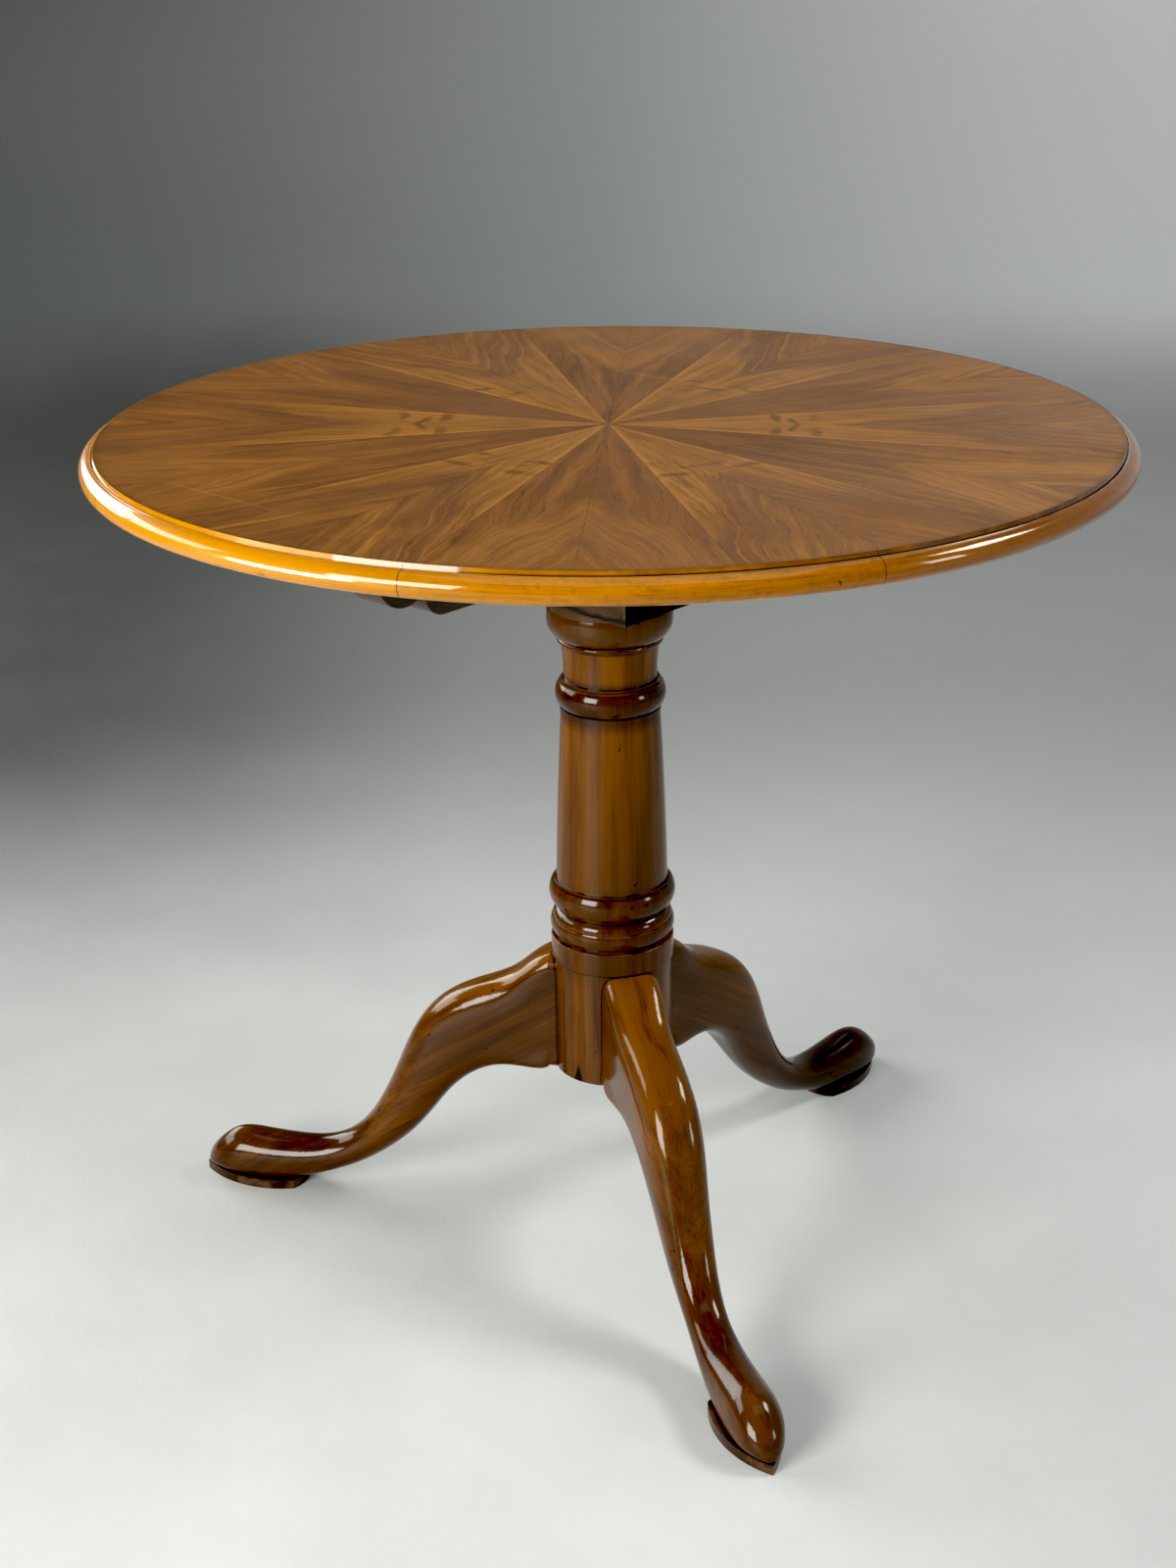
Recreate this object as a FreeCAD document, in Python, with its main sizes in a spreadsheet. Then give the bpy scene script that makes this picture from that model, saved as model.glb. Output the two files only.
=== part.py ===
import FreeCAD, Part
import math
import os
import re
import Sketcher

# A round tilt-top side table. A veneered top hinges on a square cage of two plates and four
# balusters, the cage turns on a spindle, and the column stands on three curved legs.
# The origin is on the floor under the column. X is the hinge's direction, Z is up.
# Lengths are in millimetres and angles in degrees.

SIZES = [
    # The whole table and its round top
    ("table_height", "720", "floor to the face of the top"),
    ("top_diameter", "820", "across the rounded edge"),
    ("top_thickness", "22.6", "face to underside"),
    ("veneer_thickness", "1.2", "sawn leaves on the core"),
    ("leaf_count", "24", "leaves in the sunburst"),
    ("leaf_turn", "9", "where the first leaf starts"),
    ("board_count", "5", "boards in the core"),
    ("edge_count", "8", "lengths of edge moulding"),
    ("edge_turn", "23", "where the first length starts"),
    ("edge_step_height", "3.7", "fall from the face to the rounded nose"),
    ("edge_step_width", "2.4", "from the leaves to the rounded nose"),
    ("edge_land", "0.5", "flat rim beside the leaves"),
    ("quirk_depth", "1.0", "groove behind the nose, below its crown"),
    ("quirk_width", "0.6", "floor of that groove"),
    # Bearers under the top
    ("bearer_width", "30", "across"),
    ("bearer_depth", "35", "down from the underside"),
    ("bearer_length", "716", "end to end"),
    ("bearer_nose_length", "40", "outer lobe of the shaped end"),
    ("bearer_lobe_length", "16", "inner lobe of the shaped end"),
    ("bearer_cusp_depth", "14.4", "depth where the lobes meet"),
    ("bearer_end_depth", "7.4", "blunt tip"),
    ("nose_bow_share", "0.27", "bulge of the outer lobe for its chord"),
    ("lobe_bow_share", "0.21", "bulge of the inner lobe for its chord"),
    ("bearer_gap", "1.0", "play between the cage and each bearer"),
    # Wood screws
    ("screw_shank_radius", "2.3", "shank"),
    ("screw_head_radius", "4.6", "countersunk head"),
    ("screw_head_height", "2.8", "countersunk head"),
    ("screw_slot_width", "0.9", "driver slot"),
    ("screw_slot_depth", "1.2", "driver slot"),
    ("screw_bite", "13", "length held in the core"),
    ("screw_sink", "1.0", "head below the bearer's face"),
    ("screw_fit", "0.05", "play round the shank and the head"),
    ("screw_outer_share", "0.37", "outer pair, along the bearer from its middle"),
    ("screw_inner_share", "0.20", "inner pair, along the bearer from its middle"),
    # Cage
    ("cage_side", "183", "each plate across"),
    ("cage_opening", "65.8", "between the plates"),
    ("lower_plate_thickness", "19", ""),
    ("upper_plate_thickness", "20", ""),
    ("plate_arris", "0.8", "eased corner"),
    ("seat_gap", "0.3", "between faces that move on each other"),
    ("lower_plate_setback", "7.5", "hinge side of the lower plate, behind the upper"),
    ("pin_radius", "7", "hinge dowels"),
    ("pin_fit", "0.08", "play of the dowels in the bearers"),
    ("pin_seat_fit", "0.02", "dowels in the plate"),
    ("pin_seat_depth", "26", "dowels in the plate"),
    ("pin_end_inset", "2", "dowel end inside the bearer's outer face"),
    # Balusters of the cage
    ("baluster_inset", "24", "centre from the plate's edges"),
    ("baluster_base_radius", "11.5", "end rings"),
    ("baluster_base_height", "7", "end rings"),
    ("baluster_neck_radius", "6.5", "between the rings and the swell"),
    ("baluster_swell_radius", "13", "widest, below the middle"),
    ("baluster_swell_share", "0.34", "height of the widest place"),
    ("baluster_bead_radius", "9", "bead above the swell"),
    ("baluster_bead_height", "4", "bead above the swell"),
    ("baluster_bead_share", "0.72", "height of the bead"),
    ("tenon_radius", "6.5", "into the plates"),
    ("tenon_length", "12", "into the plates"),
    ("tenon_fit", "0.05", "round each tenon"),
    ("swell_lower_bow_share", "0.16", "bulge under the widest place"),
    ("swell_upper_bow_share", "0.10", "bulge over the widest place"),
    ("quarter_share", "0.20710678", "bulge of a quarter circle for its chord"),
    # Spindle, collar ring and wedge inside the cage
    ("spindle_radius", "17", "through the lower plate"),
    ("spindle_fit", "0.1", "play of the cage on the spindle"),
    ("spindle_tip_radius", "12", "in the upper plate"),
    ("spindle_tip_inset", "3", "tip below the upper plate's face"),
    ("spindle_shoulder_drop", "6", "start of the tip below the upper plate"),
    ("ring_radius", "31", "collar ring"),
    ("ring_height", "15", "collar ring"),
    ("ring_round", "5", "rounded rim of the collar ring"),
    ("ring_fit", "0.2", "collar ring on the spindle"),
    ("wedge_thickness", "10", "across"),
    ("wedge_thin_height", "12", "narrow end"),
    ("wedge_thick_height", "18", "wide end"),
    ("wedge_length", "104", ""),
    ("wedge_reach_share", "0.42", "part of its length past the narrow side"),
    ("wedge_fit", "0.2", "in the slot"),
    # Turned column, from the floor up
    ("drum_bottom", "157", "floor to the drum's end"),
    ("drum_height", "104", "part that the legs join"),
    ("drum_radius", "50.5", ""),
    ("collar_height", "20", "plain band over the legs"),
    ("collar_radius", "52.2", ""),
    ("collar_round", "0.9", "eased edges of the band"),
    ("groove_width", "4.4", "deep groove over the band"),
    ("groove_radius", "47.2", ""),
    ("base_ring_height", "12.4", "rounded ring over the groove"),
    ("base_ring_foot_radius", "50.8", ""),
    ("base_ring_head_radius", "51.6", ""),
    ("base_ring_bow_share", "0.12", ""),
    ("ovolo_height", "8.6", "sloping round over the base ring"),
    ("ovolo_radius", "50.8", ""),
    ("ovolo_neck_radius", "46.8", ""),
    ("ovolo_bow_share", "0.13", ""),
    ("quirk_gap", "2.2", "under the lower ring"),
    ("quirk_radius", "46.0", ""),
    ("lower_ring_height", "21.4", "foot to the edge of its slope"),
    ("lower_ring_foot_radius", "47.6", ""),
    ("lower_ring_head_radius", "51.3", ""),
    ("lower_ring_bow_share", "0.18", ""),
    ("ring_slope_height", "3.0", "sloping top of each ring"),
    ("ring_fillet_height", "1.8", "narrow step at the foot of the shaft and of the neck"),
    ("ring_fillet_step", "1.8", "out from the shaft or the neck"),
    ("ring_fillet_quirk", "0.8", "groove between that step and the ring"),
    ("shaft_foot_radius", "47.2", ""),
    ("shaft_head_radius", "41.2", ""),
    ("shaft_bow_share", "0.004", "slight swell of the shaft"),
    ("shaft_fillet_height", "4", "narrow step under the upper ring"),
    ("shaft_fillet_radius", "41.9", ""),
    ("upper_ring_height", "21.3", "foot to the edge of its slope"),
    ("upper_ring_head_radius", "42.6", ""),
    ("upper_ring_foot_radius", "41.0", ""),
    ("upper_ring_bow_share", "0.18", ""),
    ("neck_height", "30.7", "hollow between ring and capital"),
    ("neck_foot_radius", "38.6", ""),
    ("neck_head_radius", "40.6", ""),
    ("neck_bow_share", "0.025", ""),
    ("bead_height", "5.4", "small bead under the capital"),
    ("bead_radius_step", "0.4", "bead's root outside the neck"),
    ("bead_quirk_height", "1.2", "between bead and capital"),
    ("bead_quirk_radius", "41.8", ""),
    ("capital_foot_radius", "45.6", ""),
    ("capital_radius", "51.6", "widest"),
    ("capital_lower_height", "15", "foot to the widest place"),
    ("capital_lower_bow_share", "0.12", ""),
    ("capital_upper_height", "8", "widest place to the cut line"),
    ("capital_upper_bow_share", "0.04", ""),
    ("capital_line_radius", "50.9", ""),
    ("capital_line_height", "0.9", "narrow line cut round the capital"),
    ("capital_line_depth", "0.9", ""),
    ("capital_band_radius", "50.5", "plain band that carries the cage"),
    ("capital_band_height", "20.5", ""),
    ("capital_band_round", "2.5", "rounded upper edge"),
    # Legs
    ("leg_count", "3", ""),
    ("leg_turn", "90", "where the first leg points"),
    ("leg_reach", "387", "column axis to the tip of the pad"),
    ("leg_width", "50", "at the drum"),
    ("leg_top_gap", "0.6", "between the collar band and the legs"),
    ("leg_inset", "0.5", "shoulder let into the drum"),
    ("leg_fit", "0.1", "round the shoulder and the dovetail"),
    ("dovetail_length", "19", "into the drum"),
    ("dovetail_neck_width", "14", ""),
    ("dovetail_end_width", "21", ""),
    ("dovetail_height", "88", "up from the drum's end"),
    ("pad_thickness", "8.5", "under the foot"),
    ("pad_length", "97", "heel to tip"),
    ("pad_width", "48", "widest"),
    ("pad_heel_width", "40", "where the rounded heel begins"),
    ("pad_heel_length", "7", "rounded heel"),
    ("pad_tip_set", "2", "tip of the foot behind the pad's tip"),
    ("foot_tip_rise", "4", "tip of the foot over the pad"),
    # Catch under the top
    ("bolt_width", "12", ""),
    ("bolt_height", "7", ""),
    ("bolt_length", "38", ""),
    ("bolt_travel", "8", "drawn back to shot"),
    ("bolt_nose_gap", "2", "drawn bolt to the cage"),
    ("bolt_fit", "0.2", "play in the case"),
    ("bolt_drop", "6", "top of the bolt under the table's underside"),
    ("bolt_nose_height", "3", "blunt end of the sloped nose"),
    ("case_wall", "4.8", "each side of the bolt"),
    ("case_floor", "2", "under the bolt"),
    ("case_length", "44", ""),
    ("case_setback", "6", "case to the cage"),
    ("flange_thickness", "2", ""),
    ("flange_width", "42", ""),
    ("flange_length", "58", ""),
    ("case_screw_inset", "6", "screws from the flange's edges"),
    ("case_screw_shank_radius", "1.6", ""),
    ("case_screw_head_radius", "2.9", ""),
    ("case_screw_head_height", "1.5", ""),
    ("case_screw_bite", "10", ""),
    ("knob_radius", "6.5", ""),
    ("knob_height", "9", ""),
    ("knob_stem_radius", "2.2", ""),
    ("knob_stem_bite", "5", "into the bolt"),
    ("knob_gap", "0.8", "under the case"),
    ("knob_share", "0.62", "place along the bolt from its nose"),
    ("knob_face_share", "0.55", "flat face for the knob's radius"),
    ("knob_neck_share", "1.6", "neck of the knob for its stem"),
    ("strike_width", "38", "plate let into the cage's edge"),
    ("strike_height", "15", ""),
    ("strike_thickness", "1.5", ""),
    ("strike_top_gap", "1.2", "below the upper plate's face"),
    ("strike_hole_play", "0.6", "round the shot bolt"),
    ("strike_screw_inset", "6", "from the plate's ends"),
    # Levels worked out from the sizes above
    ("top_radius", "=top_diameter / 2", ""),
    ("underside_z", "=table_height - top_thickness", ""),
    ("nose_radius", "=(top_thickness - edge_step_height) / 2", ""),
    ("core_radius", "=top_radius - nose_radius - edge_step_width", ""),
    ("upper_plate_top", "=underside_z - seat_gap", ""),
    ("upper_plate_bottom", "=upper_plate_top - upper_plate_thickness", ""),
    ("lower_plate_top", "=upper_plate_bottom - cage_opening", ""),
    ("lower_plate_bottom", "=lower_plate_top - lower_plate_thickness", ""),
    ("shoulder_z", "=lower_plate_bottom - seat_gap", ""),
    ("cage_half", "=cage_side / 2", ""),
    ("hinge_y", "=upper_plate_thickness / 2 - cage_half", ""),
    ("hinge_z", "=upper_plate_top - upper_plate_thickness / 2", ""),
    ("bearer_x", "=cage_half + bearer_gap", "inner face"),
    ("bearer_bottom", "=underside_z - bearer_depth", ""),
    ("baluster_place", "=cage_half - baluster_inset", ""),
    ("collar_bottom", "=drum_bottom + drum_height", ""),
    ("collar_top", "=collar_bottom + collar_height", ""),
    ("base_ring_bottom", "=collar_top + groove_width", ""),
    ("ovolo_bottom", "=base_ring_bottom + base_ring_height", ""),
    ("ovolo_top", "=ovolo_bottom + ovolo_height", ""),
    ("lower_ring_bottom", "=ovolo_top + quirk_gap", ""),
    ("lower_ring_head", "=lower_ring_bottom + lower_ring_height", ""),
    ("shaft_foot", "=lower_ring_head + ring_slope_height", ""),
    ("capital_line", "=shoulder_z - capital_band_height", ""),
    ("capital_widest", "=capital_line - capital_upper_height", ""),
    ("capital_foot", "=capital_widest - capital_lower_height", ""),
    ("bead_top", "=capital_foot - bead_quirk_height", ""),
    ("bead_bottom", "=bead_top - bead_height", ""),
    ("neck_bottom", "=bead_bottom - neck_height", ""),
    ("upper_ring_head", "=neck_bottom - ring_slope_height", ""),
    ("upper_ring_bottom", "=upper_ring_head - upper_ring_height", ""),
    ("shaft_top", "=upper_ring_bottom - shaft_fillet_height", ""),
    ("ring_bottom", "=lower_plate_top + seat_gap", ""),
    ("ring_top", "=ring_bottom + ring_height", ""),
    ("leg_top", "=collar_bottom - leg_top_gap", ""),
    ("leg_seat", "=sqrt(drum_radius ^ 2 - (leg_width / 2) ^ 2) - leg_inset", ""),
    ("bolt_top", "=underside_z - bolt_drop", ""),
    ("bolt_bottom", "=bolt_top - bolt_height", ""),
    ("bolt_nose_y", "=cage_half + bolt_nose_gap", ""),
    ("case_start", "=cage_half + case_setback", ""),
    ("case_bottom", "=bolt_bottom - bolt_fit - case_floor", ""),
    ("knob_y", "=bolt_nose_y + bolt_length * knob_share", ""),
    ("strike_top", "=upper_plate_top - strike_top_gap", ""),
]
NAMES = {name for name, _, _ in SIZES}

# The leg's course, station by station from the drum to the tip of the foot.
# Shares of the run from the drum's side to the pad's tip (out), of the leg's top (up),
# of its depth at the drum (deep) and of its width (wide); the lean of each section in
# degrees, and how square its upper and lower halves are.
LEG_STATION_SHARES = [
    # out, up, deep, wide, lean, upper, lower
    (0.0052, 0.798, 1.019, 1.00, 0, 5.5, 16.0),
    (0.0982, 0.739, 0.830, 1.00, 8, 3.6, 9.0),
    (0.1844, 0.705, 0.730, 1.00, 18, 3.0, 6.0),
    (0.2637, 0.650, 0.690, 1.00, 29, 2.8, 4.6),
    (0.3280, 0.561, 0.622, 0.97, 34, 2.6, 3.6),
    (0.3808, 0.446, 0.540, 0.88, 34, 2.4, 3.0),
    (0.4394, 0.321, 0.433, 0.79, 35, 2.3, 2.5),
    (0.5003, 0.227, 0.336, 0.71, 37, 2.2, 2.3),
    (0.5761, 0.155, 0.300, 0.68, 31, 2.1, 2.2),
    (0.6588, 0.117, 0.320, 0.74, 16, 2.0, 2.6),
    (0.7404, 0.101, 0.372, 0.80, 4, 2.0, 3.4),
    (0.8265, 0.102, 0.402, 0.85, 0, 1.9, 4.5),
    (0.9104, 0.103, 0.384, 0.78, -4, 1.75, 4.5),
    (0.9552, 0.088, 0.276, 0.59, -8, 1.75, 3.6),
    (0.9851, 0.066, 0.150, 0.26, -10, 1.8, 2.8),
]
LEG_SECTION_POINTS = 32
PAD_WIDEST_SHARE = 0.52

doc = FreeCAD.newDocument("tilt_top_table")


def add_sizes():
    """Puts every size on the sheet under its own name."""
    sheet = doc.addObject("Spreadsheet::Sheet", "Sizes")
    for row, (name, text, note) in enumerate(SIZES, start=1):
        sheet.set(f"A{row}", name)
        sheet.set(f"B{row}", text)
        sheet.setAlias(f"B{row}", name)
        sheet.set(f"C{row}", note)
    doc.recompute()
    return sheet


sheet = add_sizes()


def formula(text):
    """The formula with each size looked up on the sheet."""
    def looked_up(word):
        return "Sizes." + word[0] if word[0] in NAMES else word[0]

    return re.sub(r"[a-z][a-z_]*", looked_up, str(text))


def value(text):
    """The number that a formula gives now."""
    return float(sheet.evalExpression(formula(text)))


def bind(item, **formulas):
    """Binds properties to formulas; x, y, z and turn stand for the placement."""
    paths = {
        "x": "Placement.Base.x",
        "y": "Placement.Base.y",
        "z": "Placement.Base.z",
        "turn": "Placement.Rotation.Angle",
    }
    for name, text in formulas.items():
        item.setExpression(paths.get(name, name), formula(text))
    return item


# Primitives and booleans


AXES = {
    "X": FreeCAD.Rotation(FreeCAD.Vector(0, 1, 0), 90),
    "Y": FreeCAD.Rotation(FreeCAD.Vector(1, 0, 0), -90),
    "Z": FreeCAD.Rotation(),
}


def box(name, x, y, z, length, width, height):
    item = doc.addObject("Part::Box", name)
    return bind(item, Length=length, Width=width, Height=height, x=x, y=y, z=z)


def cylinder(name, x, y, z, radius, height, along="Z"):
    item = doc.addObject("Part::Cylinder", name)
    item.Placement.Rotation = AXES[along]
    return bind(item, Radius=radius, Height=height, x=x, y=y, z=z)


def cone(name, x, y, z, lower, upper, height, along="Z"):
    item = doc.addObject("Part::Cone", name)
    item.Placement.Rotation = AXES[along]
    return bind(item, Radius1=lower, Radius2=upper, Height=height, x=x, y=y, z=z)


def cut(name, base, tool):
    item = doc.addObject("Part::Cut", name)
    item.Base = base
    item.Tool = tool
    return item


def common(name, base, tool):
    item = doc.addObject("Part::Common", name)
    item.Base = base
    item.Tool = tool
    return item


def fuse(name, shapes):
    item = doc.addObject("Part::MultiFuse", name)
    item.Shapes = shapes
    return item


def group(name, links):
    """Separate solids that share one node."""
    item = doc.addObject("Part::Compound", name)
    item.Links = links
    return item


# Bodies with sketches


def sketch_on(body, name, role):
    plane = next(item for item in body.Origin.OriginFeatures if item.Role == role)
    sketch = body.newObject("Sketcher::SketchObject", name)
    sketch.AttachmentSupport = [(plane, "")]
    sketch.MapMode = "FlatFace"
    return sketch


def bound_point(sketch, edge, end, across, up):
    """Holds one end of an edge at two formulas."""
    for kind, text in (("DistanceX", across), ("DistanceY", up)):
        index = sketch.addConstraint(Sketcher.Constraint(kind, -1, 1, edge, end, value(text)))
        sketch.setExpression(f"Constraints[{index}]", formula(text))


def outline(sketch, corners):
    """A closed outline. A corner is (across, up) or (across, up, bow): the bow is the
    rise of the arc to the next corner as a share of its chord, out to the right."""
    ends = []
    for index, corner in enumerate(corners):
        after = corners[(index + 1) % len(corners)]
        start = FreeCAD.Vector(value(corner[0]), value(corner[1]), 0)
        stop = FreeCAD.Vector(value(after[0]), value(after[1]), 0)
        if len(corner) == 2:
            edge = sketch.addGeometry(Part.LineSegment(start, stop), False)
            ends.append((edge, 1, 2))
            continue
        bow = value(corner[2])
        size = abs(bow)
        chord = stop - start
        radius = chord.Length * (1 / (8 * size) + size / 2)
        right = FreeCAD.Vector(chord.y, -chord.x, 0).normalize() * math.copysign(1, bow)
        centre = (start + stop) / 2 - right * (radius - chord.Length * size)
        first, last = (start, stop) if bow > 0 else (stop, start)
        circle = Part.Circle(centre, FreeCAD.Vector(0, 0, 1), radius)
        angles = [math.atan2(spot.y - centre.y, spot.x - centre.x) for spot in (first, last)]
        if angles[1] < angles[0]:
            angles[1] += 2 * math.pi
        edge = sketch.addGeometry(Part.ArcOfCircle(circle, *angles), False)
        ends.append((edge, 1, 2) if bow > 0 else (edge, 2, 1))
        rule = sketch.addConstraint(Sketcher.Constraint("Radius", edge, radius))
        span = f"sqrt(({after[0]} - ({corner[0]})) ^ 2 + ({after[1]} - ({corner[1]})) ^ 2)"
        text = f"{span} * (1 / (8 * abs({corner[2]})) + abs({corner[2]}) / 2)"
        sketch.setExpression(f"Constraints[{rule}]", formula(text))
    for index, (edge, start, stop) in enumerate(ends):
        after = ends[(index + 1) % len(ends)]
        sketch.addConstraint(Sketcher.Constraint("Coincident", edge, stop, after[0], after[1]))
        bound_point(sketch, edge, start, *corners[index][:2])
    return sketch


def new_body(name):
    body = doc.addObject("PartDesign::Body", name)
    return body


def turned(name, corners, angle="360"):
    """A body turned about Z from an outline of (radius, height) corners."""
    body = new_body(name)
    sketch = outline(sketch_on(body, name + "_outline", "XZ_Plane"), corners)
    turn = body.newObject("PartDesign::Revolution", name + "_turn")
    turn.Profile = sketch
    turn.ReferenceAxis = (sketch, ["V_Axis"])
    turn.setExpression("Angle", formula(angle))
    sketch.Visibility = False
    return body


def padded(name, role, corners, length, midplane=False):
    """A body padded from an outline on one of its origin planes."""
    body = new_body(name)
    sketch = outline(sketch_on(body, name + "_outline", role), corners)
    pad = body.newObject("PartDesign::Pad", name + "_pad")
    pad.Profile = sketch
    pad.Midplane = midplane
    pad.setExpression("Length", formula(length))
    return body


# Turned and let-in pieces of the base


def fillet(radius, height):
    """The narrow step on top of a ring, with the groove that sets it off."""
    out = f"{radius} + ring_fillet_step"
    foot = f"{height} - ring_fillet_height"
    return [(f"{out} - ring_fillet_quirk", foot), (out, foot), (out, height)]


def make_column():
    """The column with its spindle, turned in one piece, then slotted for wedge and legs."""
    tip_bottom = "upper_plate_bottom - spindle_shoulder_drop"
    bead_root = "neck_head_radius + bead_radius_step"
    corners = [
        ("0", "drum_bottom"),
        ("drum_radius", "drum_bottom"),
        ("drum_radius", "collar_bottom"),
        ("collar_radius - collar_round", "collar_bottom", "quarter_share"),
        ("collar_radius", "collar_bottom + collar_round"),
        ("collar_radius", "collar_top - collar_round", "quarter_share"),
        ("collar_radius - collar_round", "collar_top"),
        ("groove_radius", "collar_top"),
        ("groove_radius", "base_ring_bottom"),
        ("base_ring_foot_radius", "base_ring_bottom", "base_ring_bow_share"),
        ("base_ring_head_radius", "ovolo_bottom"),
        ("ovolo_radius", "ovolo_bottom", "ovolo_bow_share"),
        ("ovolo_neck_radius", "ovolo_top"),
        ("quirk_radius", "ovolo_top"),
        ("quirk_radius", "lower_ring_bottom"),
        ("lower_ring_foot_radius", "lower_ring_bottom", "lower_ring_bow_share"),
        ("lower_ring_head_radius", "lower_ring_head"),
        *fillet("shaft_foot_radius", "shaft_foot"),
        ("shaft_foot_radius", "shaft_foot", "shaft_bow_share"),
        ("shaft_head_radius", "shaft_top"),
        ("shaft_fillet_radius", "shaft_top"),
        ("shaft_fillet_radius", "upper_ring_bottom"),
        ("upper_ring_foot_radius", "upper_ring_bottom", "upper_ring_bow_share"),
        ("upper_ring_head_radius", "upper_ring_head"),
        *fillet("neck_foot_radius", "neck_bottom"),
        ("neck_foot_radius", "neck_bottom", "-neck_bow_share"),
        ("neck_head_radius", "bead_bottom"),
        (bead_root, "bead_bottom", "quarter_share"),
        (f"{bead_root} + bead_height / 2", "bead_bottom + bead_height / 2", "quarter_share"),
        (bead_root, "bead_top"),
        ("bead_quirk_radius", "bead_top"),
        ("bead_quirk_radius", "capital_foot"),
        ("capital_foot_radius", "capital_foot", "capital_lower_bow_share"),
        ("capital_radius", "capital_widest", "capital_upper_bow_share"),
        ("capital_line_radius", "capital_line"),
        ("capital_line_radius - capital_line_depth", "capital_line"),
        ("capital_line_radius - capital_line_depth", "capital_line + capital_line_height"),
        ("capital_band_radius", "capital_line + capital_line_height"),
        ("capital_band_radius", "shoulder_z - capital_band_round", "quarter_share"),
        ("capital_band_radius - capital_band_round", "shoulder_z"),
        ("spindle_radius", "shoulder_z"),
        ("spindle_radius", tip_bottom),
        ("spindle_tip_radius", tip_bottom),
        ("spindle_tip_radius", "upper_plate_top - spindle_tip_inset"),
        ("0", "upper_plate_top - spindle_tip_inset"),
    ]
    return turned("column_turned", corners)


def leg_section(share):
    """One rounded section across the leg, as points round a station of its course."""
    out, up, deep, wide, lean, upper, lower = share
    depth = value("leg_top - drum_bottom") * deep / 2
    half = value("leg_width / 2") * wide
    angle = math.radians(lean)
    points = []
    for step in range(LEG_SECTION_POINTS):
        turn = 2 * math.pi * step / LEG_SECTION_POINTS
        across, along = math.cos(turn), math.sin(turn)
        square = upper if along >= 0 else lower
        reach = (abs(across) ** square + abs(along) ** square) ** (-1 / square)
        rise = depth * along * reach
        x = value("drum_radius") + value("leg_reach - drum_radius") * out + rise * math.sin(angle)
        z = value("leg_top") * up + rise * math.cos(angle)
        points.append(FreeCAD.Vector(x, half * across * reach, z))
    return points


def smooth_wire(points):
    curve = Part.BSplineCurve()
    curve.interpolate(Points=points, PeriodicFlag=True)
    return Part.Wire(curve.toShape())


def leg_root(grow):
    """The block where the leg meets the drum, from its flat shoulder outward."""
    start = leg_section(LEG_STATION_SHARES[0])
    wide = 1 + grow / value("leg_width / 2")
    middle = (value("leg_top") + value("drum_bottom")) / 2
    deep = 1 + grow / (value("leg_top") - middle)
    seat = value("leg_seat") - grow
    ring = [FreeCAD.Vector(seat, p.y * wide, middle + (p.z - middle) * deep) for p in start]
    face = Part.Face(smooth_wire(ring))
    return face.extrude(FreeCAD.Vector(start[0].x - seat, 0, 0))


def dovetail(grow):
    """The tongue that slides up into the drum; grow widens it into the socket."""
    seat = value("leg_seat")
    end = seat - value("dovetail_length") - grow
    neck = value("dovetail_neck_width") / 2 + grow
    wide = value("dovetail_end_width") / 2 + grow
    corners = [(seat, neck), (end, wide), (end, -wide), (seat, -neck), (seat, neck)]
    low = value("drum_bottom")
    wire = Part.makePolygon([FreeCAD.Vector(x, y, low) for x, y in corners])
    return Part.Face(wire).extrude(FreeCAD.Vector(0, 0, value("dovetail_height") + grow))


def pad_shape():
    """The thin leaf-shaped pad: a rounded heel, two long curved sides and a point."""
    tip = value("leg_reach")
    heel = tip - value("pad_length")
    neck = heel + value("pad_heel_length")
    side = value("pad_heel_width / 2")
    widest = FreeCAD.Vector(tip - value("pad_length") * PAD_WIDEST_SHARE, value("pad_width / 2"), 0)
    across = FreeCAD.Vector(widest.x, -widest.y, 0)
    point = FreeCAD.Vector(tip, 0, 0)
    left, right = FreeCAD.Vector(neck, side, 0), FreeCAD.Vector(neck, -side, 0)
    edges = [
        Part.Arc(right, FreeCAD.Vector(heel, 0, 0), left).toShape(),
        Part.Arc(left, widest, point).toShape(),
        Part.Arc(point, across, right).toShape(),
    ]
    face = Part.Face(Part.Wire(edges))
    return face.extrude(FreeCAD.Vector(0, 0, value("pad_thickness")))


def leg_shape():
    """A carved leg: shoulder, knee, ankle and pointed foot on its pad, with the dovetail."""
    wires = [smooth_wire(leg_section(share)) for share in LEG_STATION_SHARES]
    tip = FreeCAD.Vector(value("leg_reach - pad_tip_set"), 0, value("pad_thickness + foot_tip_rise"))
    limb = Part.makeLoft(wires + [Part.Vertex(tip)], True, False)
    reach = value("leg_reach")
    ground = Part.makeBox(2 * reach, 2 * reach, value("pad_thickness"), FreeCAD.Vector(0, -reach, 0))
    limb = limb.cut(ground)
    return limb.fuse([leg_root(0), dovetail(0), pad_shape()]).removeSplitter()


def make_legs(names):
    """The legs, and the pockets in the drum that take their shoulders and dovetails."""
    shape = leg_shape()
    fit = value("leg_fit")
    room = leg_root(fit).fuse(dovetail(fit))
    below = dovetail(fit)
    below.translate(FreeCAD.Vector(0, 0, -fit))
    room = room.fuse(below)
    legs, pockets = [], []
    for index, name in enumerate(names):
        turn = f"leg_turn + {index} * 360 / leg_count"
        leg = doc.addObject("Part::Feature", name)
        leg.Shape = shape
        legs.append(bind(leg, turn=turn))
        pocket = doc.addObject("Part::Feature", name + "_pocket")
        pocket.Shape = room
        pockets.append(bind(pocket, turn=turn))
    return legs, pockets


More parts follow.
